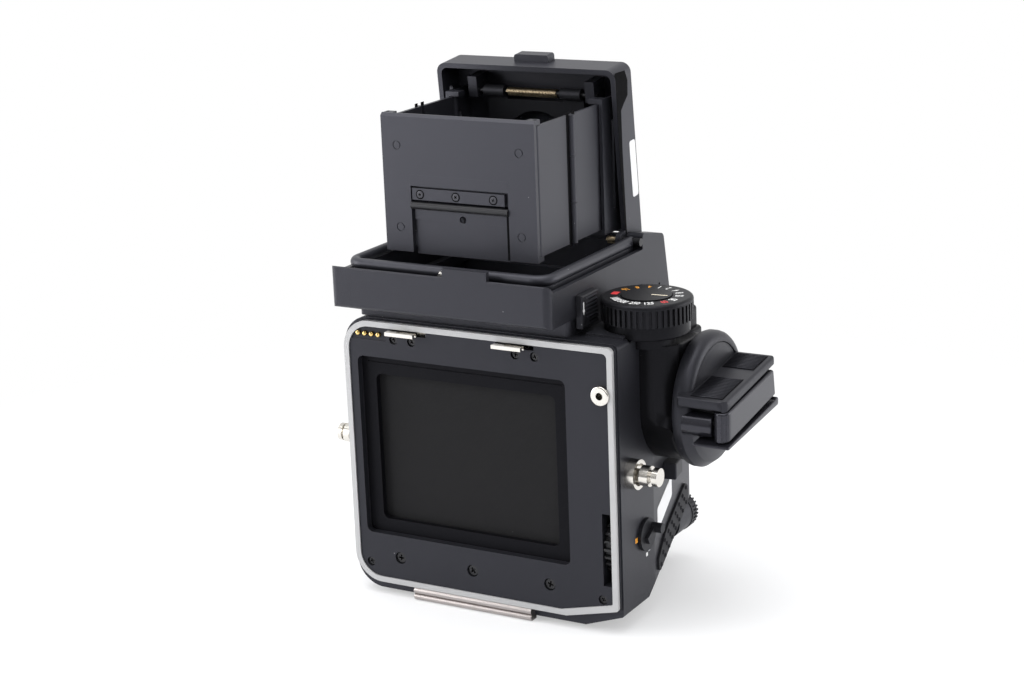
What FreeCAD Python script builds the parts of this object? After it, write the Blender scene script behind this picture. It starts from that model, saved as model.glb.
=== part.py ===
import FreeCAD, Part
import math
import os

# Medium format film camera body, rear side open, with a folding waist-level hood and a side crank.
# Millimetres. +Z is up, the lens side faces -Y, the film side faces +Y, and the crank is on -X.
# The origin is the centre of the tripod socket on the surface that the camera stands on.

V = FreeCAD.Vector
X = V(1, 0, 0)
Y = V(0, 1, 0)
Z = V(0, 0, 1)

# Fits
run_gap = 0.05          # radial clearance of a pin that turns in a hole
slide_gap = 0.15        # clearance of a piece that slides or turns beside another
seat_gap = 0.3          # gap between unlike moving faces

# Body casting
body_left = 40.3
body_right = 51.0
body_top = 87.0
body_bottom = 1.2
body_rear = 25.8
body_front = 36.0
taper_start = 5.0       # y where the crank side starts to lean in
taper_in = 6.8          # how far it has leaned in at the front
left_taper_start = -8.0
left_taper_in = 5.0
corner_radius = 9.0
bevel_width = 12.5
bevel_rise = 4.3
top_edge_radius = 1.6
grip_rear_z = 8.8       # where the grip bevel starts on the crank side
grip_run = 25.0
grip_rise = 9.2
grip_inward = 8.5
grip_drop = 17.9

# Lens side
lens_z = 46.6
throat_radius = 27.0
mount_outer = 33.0
mount_thick = 3.2
mount_proud = 1.3
mount_lug_depth = 1.8
mount_screw_circle = 30.0
mount_screw_radius = 1.1
mount_screw_count = 4

# Reflex chamber, mirror and screen
chamber_half = 30.5
chamber_floor = 18.0
chamber_rear = 18.5
chamber_roof = 74.0
chamber_front = 32.0
screen_under = 77.5
screen_thick = 2.0
screen_half = 30.5
screen_front = -26.0
screen_rear = 18.0
screen_ledge = 2.5
mirror_axis_y = 13.5
mirror_axis_z = 67.5
mirror_length = 45.0
mirror_half = 27.5
mirror_thick = 2.0
mirror_pin_radius = 1.2

# Rear film plate
plate_thick = 1.8
trim_width = 1.7
trim_thick = 1.3
trim_proud = 0.4        # how far the trim stands out behind the plate
step_margin = 0.3
trim_right = 50.3
trim_left = 39.4
trim_top = 86.3
trim_bottom = 3.9
trim_bevel_width = 17.0
trim_bevel_rise = 4.0
recess_half = 35.0
recess_low = 19.5
recess_high = 75.3
recess_depth = 2.4
gate_half = 30.3
gate_low = 23.7
gate_high = 69.5
gate_radius = 2.0
gate_frame_thick = 1.8
curtain_gap = 0.4
curtain_thick = 0.6

# Rear fittings
contact_count = 4
contact_pitch = 2.36
contact_first = 34.1
contact_z = 82.4
contact_radius = 0.75
contact_proud = 0.7
contact_block_left = 37.0
contact_block_right = 24.4
contact_block_half = 1.9
hook_left = 18.2
hook_right = -17.8
hook_width = 9.6
hook_thick = 1.1
hook_z = 83.7
hook_proud = 3.0
latch_travel = 2.5
bushing_x = -46.4
bushing_z = 72.3
bushing_radius = 2.9
bushing_bore = 1.1
bushing_proud = 1.2
slot_x = -47.1
slot_half = 1.45
slot_low = 15.0
slot_high = 37.0
gear_z = 26.0
gear_radius = 10.8
gear_width = 2.2
gear_teeth = 28
gear_tooth_depth = 1.0
gear_shaft_radius = 1.5
gate_screw_xs = (23.5, -1.8, -27.9)
gate_screw_z = 12.5
gate_screw_radius = 1.9
corner_screws_at = ((34.2, 9.8), (-45.3, 10.6))
corner_screw_radius = 1.45
latch_screws_at = ((22.0, 81.2), (15.8, 81.2), (-19.1, 81.2), (-25.4, 81.2))
latch_screw_radius = 1.4
screw_sink = 0.5
screw_shank = 0.55       # shank as a share of the head's radius
screw_length = 5.5
cross_width = 0.5
hinge_bar_left = 18.9
hinge_bar_right = -21.6
hinge_bar_height = 3.9
hinge_bar_depth = 2.6

# Base plate and tripod socket
base_half_x = 26.0
base_front = -30.0
base_rear = 20.0
socket_radius = 3.175
socket_depth = 8.0
socket_outer = 5.5

# Strap studs
stud_y = 19.4
stud_z = 47.3
stud_flange_radius = 4.4
stud_flange_thick = 1.6
stud_neck_radius = 1.8
stud_collar_radius = 3.0
stud_head_radius = 2.7
stud_long = 9.3
stud_short = 7.6

# Multiple exposure lever
multi_y = 11.0
multi_z = 26.0
multi_radius = 4.9
multi_thick = 1.0
multi_knob_radius = 1.5
multi_knob_offset = 3.1
multi_knob_height = 3.4
multi_spindle_radius = 1.2

# Crank side housing, dial and crank
crank_y = -6.0
crank_z = 64.0
housing_rear = 12.4
housing_top = 83.2
housing_corner = 8.5
stem_radius = 9.0
shoulder = (-54.8, -13.5, -20.8, 88.0)   # outer x, rear y, front y and top of the block ahead of the dial
housing_radius = 18.4
housing_face = 60.8
dial_x = -50.8
dial_y = 6.3
column_radius = 13.5
column_top = 85.6
neck_radius = 12.3
neck_top = 90.0
dial_radius = 13.3
dial_top = 96.6
dial_round = 1.0
dial_grooves = 48
groove_depth = 0.7
dial_cap_radius = 7.2
dial_cap_depth = 1.6
dial_shaft_radius = 2.0
hub_radius = 20.0
hub_thick = 3.5
hub_rim = 2.6
hub_dome = 1.6
arm_tilt = 6.4
arm_face = -79.5        # outer face of the handle
arm_back = -74.7
arm_rear = 21.8         # handle's ends, measured from the crank axis
arm_front = 12.75
arm_low = -2.9
arm_high = 6.0
arm_end_radius = 2.0
arm_pin_y = 17.5        # hinge of the handle, measured from the crank axis
arm_pin_z = 1.06
arm_pin_radius = 0.9
arm_pin_end = -77.4
barrel_radius = 3.1
arm_sweep = 5.9         # room that the handle's rear end needs when it swings down
flange_face = -80.3
flange_thick = 1.2
flange_rear = 22.3
seat_rear = 14.0
slab_front = 16.6
slab_high = 8.5
slab_face = -79.0
crank_spindle_radius = 3.0
pad_starts = (20.2, -4.0)
pad_rib_count = 11
pad_rib_pitch = 1.15
pad_outer = -77.8
pad_inner = -67.0
tab_y = -8.5
tab_half = 3.5
tab_low = 37.6
tab_high = 42.6
tab_out = 4.0

# Shutter release on the front
release_x = -38.0
release_z = 14.9
collar_radius = 6.1
collar_length = 4.2
collar_ridges = 30
button_radius = 3.6
button_travel = 1.5

# Lens release on the front
lens_button_x = 37.0
lens_button_z = 30.0
lens_button_radius = 3.4
lens_button_proud = 3.0
lens_button_travel = 2.0
lock_pin_radius = 1.2
lock_pin_circle = 30.0
lock_pin_proud = 1.0

# Flash sync socket on the left side
sync_y = -14.0
sync_z = 60.0
sync_radius = 4.2
sync_bore = 1.6
sync_out = 2.2

# Grip pad on the crank side
pad_thick = 0.7
pad_columns = 8
pad_rows = 3
pad_bump_pitch = 3.9

# Top cover beside the hood
top_cover = (-50.0, -38.4, 11.0, 20.3)
top_cover_thick = 0.8

# Finder base
finder_half = 36.2
finder_rear = 37.5
finder_bottom = 92.3
finder_wall = 1.6
finder_side_top = 102.6
finder_rear_top = 105.2
cheek_top = 107.6
cheek_top_front = 104.6
cheek_rear = -21.0
cheek_thick = 5.2
brow_front = 38.6
brow_top_front = 35.2
ledge_thick = 3.0
ledge_open_half = 29.0
ledge_open_rear = 30.0
ledge_open_front = -31.0
neck_step = 0.8
neck_half = finder_half - neck_step
neck_rear = 24.5
neck_front = -31.0
neck_open_half = 31.0
neck_open_rear = 21.0
neck_open_front = -29.0
notch_margin = 3.1
catch_left = -2.0
catch_right = -16.5
catch_height = 2.0

# Rounded rim frame inside the finder base
rim_radius = 1.6
rim_gap = 0.5               # play between the rim and the finder's side wall
rim_half = finder_half - finder_wall - rim_gap - rim_radius
rim_rear = 32.1
rim_z = 104.8
rim_corner = 4.3
rim_skirt = 1.4

# Finder slide button on the crank side
slider_y = 17.0
slider_half = 5.0
slider_low = 89.2
slider_high = 98.8
slider_out = 2.0
slider_travel = 1.8
slider_ribs = 6

# Hood release wheel on the rear edge
thumb_x = -2.5
thumb_half = 3.3
thumb_top = 106.6

# Folding hood
hinge_y = -20.0
hinge_z = 105.0
lid_lean = 5.8
lid_gap = 0.6               # play between the lid and the rim
lid_half = rim_half - rim_radius - lid_gap
lid_depth = 11.5
lid_wall = 1.5
lid_behind = 2.07          # distance of the lid's open rim ahead of its hinge axis
lid_low = -1.6
lid_high = 51.3
lid_corner = 3.0
lid_pin_radius = 1.2
lid_ear_radius = 2.6
tab_lid_half = 5.8
tab_lid_height = 2.3
tab_lid_thick = 4.0
bracket_play = 0.3
bracket_thick = 1.0
bracket_room = 2.2
box_half = lid_half - lid_wall - bracket_room - bracket_thick - bracket_play
box_low = 107.3
box_high = 147.8
leaf_thick = 1.0
leaf_axis_front = -17.0
leaf_span = 18.75          # distance between two hinge axes of a side
leaf_knuckle = 1.3          # how far the middle hinge axis lies outside the leaf's inner face
knuckle_radius = 1.0
knuckle_pin = 0.5
leaf_edge = 1.35
edge_pin = 0.6
edge_barrel = 1.0
ear_thick = 1.4
wall_outer = 23.0
wall_thick = 1.3
top_chamfer = 0.8
window_half = 16.2
window_top = 129.6
strip_low = 123.4
strip_half = 15.6
rod_z = 121.2
rod_radius = 1.1
link_step_z = 117.0
wall_screw_xs = (12.0, -0.5, -13.0)
wall_screw_radius = 1.1
rivet_xs = 20.2
rivet_zs = (114.5, 138.6)
rivet_radius = 1.35

# Magnifier inside the lid
rod_y = -22.5
mag_rod_z = 147.6
mag_rod_radius = 0.9
mag_rod_half = 22.0
mag_half = 16.5
mag_reach = 33.5
mag_plate = 1.2
mag_ring_outer = 14.2
mag_glass = 12.2
mag_ring_thick = 4.2
coil_radius = 1.7
coil_wire = 0.5
coil_half = 8.6
coil_turns = 9


def box(x0, x1, y0, y1, z0, z1):
    low = V(min(x0, x1), min(y0, y1), min(z0, z1))
    return Part.makeBox(abs(x1 - x0), abs(y1 - y0), abs(z1 - z0), low)


def rod(radius, start, end):
    """Round bar between two points."""
    axis = end - start
    return Part.makeCylinder(radius, axis.Length, start, axis)


def prism(points, direction):
    """Closed outline of points pushed along a vector."""
    wire = Part.makePolygon(points + [points[0]])
    return Part.Face(wire).extrude(direction)


def rounded(points, radii, direction):
    """Closed outline with its own corner radius at each point, pushed along a vector."""
    count = len(points)
    edges = []
    starts = []
    ends = []
    middles = []
    for i in range(count):
        here = points[i]
        back = (points[i - 1] - here)
        on = (points[(i + 1) % count] - here)
        back.normalize()
        on.normalize()
        half = back.getAngle(on) / 2
        cut = radii[i] / math.tan(half) if radii[i] else 0
        starts.append(here + back * cut)
        ends.append(here + on * cut)
        bisector = back + on
        if radii[i] and bisector.Length > 1e-6:
            bisector.normalize()
            middles.append(here + bisector * (radii[i] / math.sin(half) - radii[i]))
        else:
            middles.append(None)
    for i in range(count):
        if middles[i] is not None:
            edges.append(Part.Arc(starts[i], middles[i], ends[i]).toShape())
        following = starts[(i + 1) % count]
        if (following - ends[i]).Length > 1e-6:
            edges.append(Part.LineSegment(ends[i], following).toShape())
    return Part.Face(Part.Wire(edges)).extrude(direction)


def turned(shape, angle, centre, axis):
    copy = shape.copy()
    copy.rotate(centre, axis, angle)
    return copy


def moved(shape, x=0, y=0, z=0):
    copy = shape.copy()
    copy.translate(V(x, y, z))
    return copy


def mirrored(shape):
    """The same piece on the other side of the camera's middle plane."""
    return shape.mirror(V(0, 0, 0), X)


def soften(shape, radius, chosen):
    """Fillet the edges that a test picks."""
    edges = [e for e in shape.Edges if chosen(e)]
    return shape.makeFillet(radius, edges)


def whole(shape):
    """A clean shape without the seams that a union leaves."""
    return shape.removeSplitter()


def save(name, shape):
    os.makedirs("parts", exist_ok=True)
    if not shape.isValid() or shape.Volume <= 0:
        raise ValueError("bad solid in " + name)
    shape.exportStep("parts/" + name + ".step")
    print(name, len(shape.Solids), round(shape.Volume, 1))


def cross_screw(radius, length, x, y, z):
    """Screw that points to -Y, with a cross in its head, its head's face at y."""
    head = rod(radius, V(x, y, z), V(x, y - 1.0, z))
    shank = rod(radius * screw_shank, V(x, y - 1.0, z), V(x, y - length, z))
    screw = head.fuse(shank)
    reach = radius * 0.62
    across = box(x - reach, x + reach, y - 0.45, y + 1, z - cross_width / 2, z + cross_width / 2)
    along = box(x - cross_width / 2, x + cross_width / 2, y - 0.45, y + 1, z - reach, z + reach)
    return screw.cut(across.fuse(along))


def rear_outline(left, right, top, bottom, bevel, rise, radius, y, depth):
    """The body's rounded outline seen from behind, pushed towards -Y."""
    points = [V(left, y, top), V(left, y, bottom), V(-right + bevel, y, bottom),
              V(-right, y, bottom + rise), V(-right, y, top)]
    radii = [radius, radius, 0, 0.8, 1.5]
    return rounded(points, radii, V(0, -depth, 0))


# Outline of the body in plan
def plan_outline(grow=0.0):
    front = -body_front - grow
    points = [V(body_left + grow, body_rear, 0), V(-body_right - grow, body_rear, 0),
              V(-body_right - grow, taper_start, 0),
              V(-body_right + taper_in - grow, front, 0),
              V(body_left - left_taper_in + grow, front, 0),
              V(body_left + grow, left_taper_start, 0)]
    return rounded(points, [0, 0, 6, 5, 5, 6], V(0, 0, body_top))


crank_centre = V(0, crank_y, crank_z)
plate_face = body_rear + plate_thick
trim_face = plate_face + trim_proud
curtain_y = plate_face - recess_depth - gate_frame_thick - curtain_gap


def make_body():
    outer = rear_outline(body_left, body_right, body_top, body_bottom, bevel_width, bevel_rise,
                         corner_radius, body_rear, body_rear + body_front)
    plan = soften(plan_outline(), top_edge_radius, lambda e: (
        e.BoundBox.ZMin > body_top - 0.01 and e.BoundBox.YMin < body_rear - 1))
    shell = outer.common(plan)
    mount_boss = rod(mount_outer + 1.5, V(0, -body_front + 1, lens_z),
                     V(0, -body_front - mount_proud + 0.5, lens_z))
    shell = shell.fuse(mount_boss).cut(grip_bevel())
    release_boss = rod(collar_radius - 0.2, V(release_x, -body_front + 9, release_z),
                       V(release_x, -body_front, release_z))
    shell = shell.fuse(release_boss)
    # Chamber for the mirror, and the light path above and below it
    chamber = box(-chamber_half, chamber_half, -chamber_front, chamber_rear, chamber_floor, chamber_roof)
    path_up = box(-screen_half + screen_ledge, screen_half - screen_ledge,
                  screen_front + screen_ledge, screen_rear - screen_ledge, chamber_roof - 1, body_top)
    seat = box(-screen_half - slide_gap, screen_half + slide_gap, screen_front - slide_gap,
               screen_rear + slide_gap, screen_under, body_top + 1)
    well = box(-neck_open_half, neck_open_half, neck_open_front, neck_open_rear,
               screen_under + screen_thick, body_top + 1)
    path_back = box(-gate_half, gate_half, chamber_rear - 1, body_rear + 1, gate_low, gate_high)
    curtain_room = box(-recess_half, recess_half, curtain_y - curtain_thick - 0.2, body_rear + 1,
                       recess_low, recess_high)
    throat = rod(throat_radius, V(0, -body_front - 5, lens_z), V(0, -chamber_front + 1, lens_z))
    ring_seat = rod(mount_outer, V(0, -body_front - 5, lens_z),
                    V(0, -body_front - mount_proud + mount_thick, lens_z))
    for cut in (chamber, path_up, seat, well, path_back, curtain_room, throat, ring_seat):
        shell = shell.cut(cut)
    # Room for the mirror's pin, the gear, the latch bar and the fittings
    pin_room = rod(mirror_pin_radius, V(-chamber_half - 3, mirror_axis_y, mirror_axis_z),
                   V(chamber_half + 3, mirror_axis_y, mirror_axis_z))
    gear_room = box(slot_x - slot_half, slot_x + slot_half, gear_y - gear_radius - 0.6, body_rear + 1,
                    slot_low, slot_high + 1.5)
    gear_pin_room = rod(gear_shaft_radius, V(slot_x - slot_half - 1.2, gear_y, gear_z),
                        V(slot_x + slot_half + 3, gear_y, gear_z))
    latch_room = box(hook_left + hook_width / 2 + 1.2, hook_right - hook_width / 2 - latch_travel - 1.2,
                     body_rear - 2.6, body_rear + 1, hook_z - 1.6, hook_z + 1.6)
    contact_room = box(contact_block_left, contact_block_right, body_rear - 3, body_rear + 1,
                       contact_z - contact_block_half, contact_z + contact_block_half)
    bushing_room = rod(bushing_radius - 1.0, V(bushing_x, body_rear - 6, bushing_z),
                       V(bushing_x, body_rear + 1, bushing_z))
    spindle_room = rod(crank_spindle_radius + run_gap, V(-body_right + 9, crank_y, crank_z),
                       V(-body_right - 1, crank_y, crank_z))
    multi_room = rod(multi_spindle_radius + run_gap, V(-body_right - 1, multi_y, multi_z),
                     V(-body_right + 1.8, multi_y, multi_z))
    stud_rooms = [rod(stud_neck_radius, V(-body_right - 1, stud_y, stud_z),
                      V(-body_right + 5, stud_y, stud_z)),
                  rod(stud_neck_radius, V(body_left + 1, stud_y, stud_z), V(body_left - 5, stud_y, stud_z))]
    sync_room = rod(sync_radius - 1.2, V(body_left + 1, sync_y, sync_z), V(body_left - 6, sync_y, sync_z))
    sync_seat = rod(sync_radius, V(body_left_at(sync_y) - 1.0, sync_y, sync_z),
                    V(body_left + 5, sync_y, sync_z))
    socket_room = rod(socket_outer, V(0, 0, -1), V(0, 0, socket_depth))
    release_room = rod(button_radius + slide_gap, V(release_x, -body_front - 2, release_z),
                       V(release_x, -body_front + 4, release_z))
    lens_room = rod(lens_button_radius + slide_gap, V(lens_button_x, -body_front - 2, lens_button_z),
                    V(lens_button_x, -body_front + 4, lens_button_z))
    bar_room = box(hinge_bar_right, hinge_bar_left, body_rear - hinge_bar_depth + plate_thick, body_rear + 2,
                   -1, hinge_bar_height)
    base_room = box(-base_half_x, base_half_x, base_front, base_rear, 0, body_bottom + 0.6)
    dial_room = rod(neck_radius, V(dial_x, dial_y, column_top), V(dial_x, dial_y, body_top + 1))
    rooms = [dial_room, pin_room, gear_room, gear_pin_room, latch_room, contact_room, bushing_room,
             spindle_room,
             multi_room, sync_room, sync_seat, socket_room, release_room, lens_room, bar_room, base_room]
    for room in rooms + stud_rooms + [lock_pin_room()] + screw_rooms():
        shell = shell.cut(room)
    save("body_shell", whole(shell.fuse(top_pad())))


gear_y = plate_face - 0.2 - gear_radius


def lock_pin():
    """Pin that the lens release draws back out of the mount."""
    x, z = lock_pin_at()
    return rod(lock_pin_radius, V(x, -body_front - mount_proud - lock_pin_proud, z),
               V(x, -body_front + 3.4, z))


def grip_bevel():
    """Steep bevel that cuts the lower edge of the crank side, rising towards the front."""
    rear = V(-body_right, taper_start, grip_rear_z)
    along = V(taper_in * grip_run / (taper_start + body_front), -grip_run, grip_rise)
    inward = V(grip_inward, 0, -grip_drop)
    out = along.cross(inward)
    out.normalize()
    out = out * -40
    start = rear - along * 0.6
    end = rear + along * 2.4
    down = inward * 1.5
    return prism([start - down, start + down, end + down, end - down], out)


def lock_pin_at():
    angle = math.atan2(lens_button_z - lens_z, lens_button_x)
    return lock_pin_circle * math.cos(angle), lens_z + lock_pin_circle * math.sin(angle)


def lock_pin_room():
    x, z = lock_pin_at()
    return rod(lock_pin_radius + run_gap, V(x, -body_front - 3, z), V(x, -body_front + 6, z))


def screw_rooms():
    rooms = []
    for radius, places in screw_groups():
        for x, z in places:
            rooms.append(rod(radius * screw_shank, V(x, body_rear + 1, z),
                             V(x, plate_face - screw_sink - screw_length, z)))
    return rooms


def screw_groups():
    """Head radius and places of each kind of screw in the rear plate."""
    return [(gate_screw_radius, [(x, gate_screw_z) for x in gate_screw_xs]),
            (corner_screw_radius, corner_screws_at), (latch_screw_radius, latch_screws_at)]


def make_rear_plate():
    inner_left = trim_left - trim_width
    inner_right = trim_right - trim_width
    plate = rear_outline(inner_left, inner_right, trim_top - trim_width, trim_bottom + trim_width,
                         trim_bevel_width, trim_bevel_rise, corner_radius - trim_width,
                         plate_face, plate_thick)
    hole = box(-recess_half, recess_half, body_rear - 1, plate_face + 1, recess_low, recess_high)
    hole = soften(hole, gate_radius, lambda e: abs(e.tangentAt(0).y) > 0.9)
    plate = plate.cut(hole)
    cuts = [box(slot_x - slot_half, slot_x + slot_half, body_rear - 1, plate_face + 1, slot_low, slot_high),
            box(contact_block_left, contact_block_right, body_rear - 1, plate_face + 1,
                contact_z - contact_block_half, trim_top),
            rod(bushing_radius, V(bushing_x, plate_face - 1, bushing_z),
                V(bushing_x, plate_face + 1, bushing_z)),
            rod(bushing_radius - 1.0, V(bushing_x, body_rear - 1, bushing_z),
                V(bushing_x, plate_face + 1, bushing_z))]
    for x in (hook_left, hook_right):
        cuts.append(box(x - hook_width / 2 - latch_travel - slide_gap, x + hook_width / 2 + slide_gap,
                        body_rear - 1, plate_face + 1, hook_z - hook_thick / 2 - slide_gap,
                        hook_z + hook_thick / 2 + slide_gap))
    for radius, places in screw_groups():
        for x, z in places:
            cuts.append(rod(radius, V(x, plate_face - screw_sink - 1.0, z), V(x, plate_face + 1, z)))
            cuts.append(rod(radius * screw_shank, V(x, body_rear - 1, z), V(x, plate_face, z)))
    for cut in cuts:
        plate = plate.cut(cut)
    # Black step round the plate, behind the bright trim
    step = rear_outline(trim_left + step_margin, trim_right + step_margin, trim_top + step_margin,
                        trim_bottom - step_margin, trim_bevel_width, trim_bevel_rise, corner_radius,
                        trim_face - trim_thick, trim_face - trim_thick - body_rear)
    bar = box(hinge_bar_right, hinge_bar_left, body_rear - 1, plate_face + 1, -1, hinge_bar_height)
    rings = [rod(bushing_radius, V(bushing_x, plate_face - 1, bushing_z),
                 V(bushing_x, plate_face + 1, bushing_z)),
             rod(bushing_radius - 1.0, V(bushing_x, body_rear - 1, bushing_z),
                 V(bushing_x, plate_face, bushing_z))]
    inner = rear_outline(trim_left - trim_width, trim_right - trim_width, trim_top - trim_width,
                         trim_bottom + trim_width, trim_bevel_width, trim_bevel_rise,
                         corner_radius - trim_width, plate_face + 1, trim_thick + 2)
    for cut in [bar, inner] + rings:
        step = step.cut(cut)
    save("rear_plate", whole(plate.fuse(step)))


def make_rear_trim():
    outer = rear_outline(trim_left, trim_right, trim_top, trim_bottom, trim_bevel_width, trim_bevel_rise,
                         corner_radius, trim_face, trim_thick)
    inner = rear_outline(trim_left - trim_width, trim_right - trim_width, trim_top - trim_width,
                         trim_bottom + trim_width, trim_bevel_width, trim_bevel_rise,
                         corner_radius - trim_width, plate_face + 1, trim_thick + 2)
    bushing = rod(bushing_radius, V(bushing_x, body_rear - 1, bushing_z),
                  V(bushing_x, plate_face + 1, bushing_z))
    save("rear_trim", whole(outer.cut(inner).cut(bushing)))


def make_gate():
    face = plate_face - recess_depth
    frame = box(-recess_half, recess_half, face - gate_frame_thick, face, recess_low, recess_high)
    frame = soften(frame, gate_radius, lambda e: abs(e.tangentAt(0).y) > 0.9)
    opening = box(-gate_half, gate_half, face - gate_frame_thick - 1, face + 1, gate_low, gate_high)
    opening = soften(opening, gate_radius, lambda e: abs(e.tangentAt(0).y) > 0.9)
    ridge = box(-recess_half + 2, recess_half - 2, face - 0.3, face + 1, recess_high - 2.4, recess_high - 1.9)
    save("gate_frame", whole(frame.cut(opening).cut(ridge)))
    curtain = box(-recess_half + 1, recess_half - 1, curtain_y - curtain_thick, curtain_y,
                  recess_low + 1, recess_high - 1)
    save("shutter_curtain", curtain)


def make_contacts():
    block = box(contact_block_left, contact_block_right, body_rear - 3, plate_face - 0.15,
                contact_z - contact_block_half, contact_z + contact_block_half)
    keep = rear_outline(trim_left - trim_width, trim_right, trim_top - trim_width, trim_bottom,
                        trim_bevel_width, trim_bevel_rise, corner_radius - trim_width, plate_face, plate_thick + 4)
    block = block.common(keep)
    pins = []
    for i in range(contact_count):
        x = contact_first - i * contact_pitch
        well = rod(contact_radius + run_gap, V(x, body_rear - 2, contact_z), V(x, plate_face + 1, contact_z))
        block = block.cut(well)
        shank = rod(contact_radius, V(x, body_rear - 0.9, contact_z),
                    V(x, plate_face + contact_proud - 0.4, contact_z))
        tip = Part.makeSphere(contact_radius, V(x, plate_face + contact_proud - 0.4, contact_z))
        pins.append(shank.fuse(tip))
    save("contact_block", whole(block))
    save("contact_pins", Part.makeCompound(pins))


def make_latch():
    bar = box(hook_left + hook_width / 2, hook_right - hook_width / 2, body_rear - 2.2, body_rear - 0.2,
              hook_z - 1.2, hook_z + 1.2)
    latch = bar
    for x in (hook_left, hook_right):
        blade = box(x - hook_width / 2, x + hook_width / 2, body_rear - 1, plate_face + hook_proud,
                    hook_z - hook_thick / 2, hook_z + hook_thick / 2)
        notch = box(x - hook_width / 2 + 1.8, x + hook_width / 2 - 3.4, plate_face + 1.0,
                    plate_face + hook_proud - 1.0, hook_z - 2, hook_z + 2)
        mouth = box(x - hook_width / 2 - 1, x - hook_width / 2 + 2.2, plate_face + 1.0,
                    plate_face + hook_proud - 1.0, hook_z - 2, hook_z + 2)
        latch = latch.fuse(blade.cut(notch.fuse(mouth)))
    save("latch_hooks", whole(latch))


def make_rear_fittings():
    ring = rod(bushing_radius, V(bushing_x, plate_face - 1, bushing_z),
               V(bushing_x, plate_face + bushing_proud, bushing_z))
    ring = soften(ring, 0.5, lambda e: e.BoundBox.YMin > plate_face + bushing_proud - 0.1)
    tail = rod(bushing_radius - 1.0, V(bushing_x, body_rear - 5, bushing_z),
               V(bushing_x, plate_face, bushing_z))
    bore = rod(bushing_bore, V(bushing_x, body_rear - 4, bushing_z), V(bushing_x, plate_face + 3, bushing_z))
    save("drive_bushing", whole(ring.fuse(tail).cut(bore)))

    # Film advance gear: straight teeth round a disc
    left = slot_x - gear_width / 2
    root = gear_radius - gear_tooth_depth
    gear = rod(root, V(left, gear_y, gear_z), V(left + gear_width, gear_y, gear_z))
    pitch = 360.0 / gear_teeth
    base_half = math.pi * root / gear_teeth * 0.62
    tip_half = base_half * 0.45
    tooth = prism([V(left, gear_y - base_half, gear_z + root - 0.4),
                   V(left, gear_y - tip_half, gear_z + gear_radius),
                   V(left, gear_y + tip_half, gear_z + gear_radius),
                   V(left, gear_y + base_half, gear_z + root - 0.4)], V(gear_width, 0, 0))
    teeth = [turned(tooth, i * pitch, V(left, gear_y, gear_z), X) for i in range(gear_teeth)]
    gear = gear.multiFuse(teeth)
    bore = rod(gear_shaft_radius + run_gap, V(left - 1, gear_y, gear_z),
               V(left + gear_width + 1, gear_y, gear_z))
    save("film_gear", whole(gear.cut(bore)))
    shaft = rod(gear_shaft_radius, V(slot_x - slot_half - 1.1, gear_y, gear_z),
                V(slot_x + slot_half + 2.9, gear_y, gear_z))
    save("film_gear_shaft", shaft)

    screws = []
    for radius, places in screw_groups():
        screws.extend([cross_screw(radius, screw_length, x, plate_face - screw_sink, z) for x, z in places])
    save("plate_screws", Part.makeCompound(screws))

    # Bright bar with two rolls under the trim, where the film back hooks in
    back = body_rear - hinge_bar_depth + plate_thick
    bar = box(hinge_bar_right, hinge_bar_left, back, plate_face - 0.2, 0, hinge_bar_height)
    rolls = []
    for z, radius in ((2.9, 1.0), (0.95, 0.95)):
        rolls.append(rod(radius, V(hinge_bar_right, plate_face - 0.2, z),
                         V(hinge_bar_left, plate_face - 0.2, z)))
    save("hinge_bar", whole(bar.fuse(rolls[0]).fuse(rolls[1])))


def make_base():
    plate = box(-base_half_x, base_half_x, base_front, base_rear, 0, body_bottom + 0.6)
    plate = soften(plate, 3.0, lambda e: abs(e.tangentAt(0).z) > 0.9)
    plate = plate.cut(rod(socket_outer, V(0, 0, -1), V(0, 0, socket_depth)))
    save("base_plate", plate)
    socket = rod(socket_outer, V(0, 0, 0), V(0, 0, socket_depth))
    socket = socket.cut(rod(socket_radius, V(0, 0, -1), V(0, 0, socket_depth - 1.2)))
    save("tripod_socket", socket)


def stud(side, length):
    """Strap stud: flange, neck, collar and button head. side is -1 on the crank side."""
    face = -body_right if side < 0 else body_left
    def disc(radius, near, far):
        return rod(radius, V(face + side * near, stud_y, stud_z), V(face + side * far, stud_y, stud_z))
    shape = disc(stud_flange_radius, 0, stud_flange_thick)
    shape = shape.fuse(disc(stud_neck_radius, -4.8, length))
    shape = shape.fuse(disc(stud_collar_radius, length * 0.42, length * 0.7))
    head = disc(stud_head_radius, length * 0.82, length)
    shape = shape.fuse(head)
    return shape


def make_studs():
    save("strap_stud_left", whole(stud(1, stud_short)))
    face = -body_right - stud_flange_thick
    ring = rod(stud_flange_radius, V(face, stud_y, stud_z), V(face - 1.3, stud_y, stud_z))
    ring = ring.cut(rod(stud_flange_radius - 1.1, V(face + 1, stud_y, stud_z), V(face - 3, stud_y, stud_z)))
    gap = box(face + 1, face - 3, stud_y - 6, stud_y, stud_z - 1.4, stud_z + 1.4)
    save("strap_stud_right", whole(stud(-1, stud_long).fuse(ring.cut(gap))))


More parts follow.
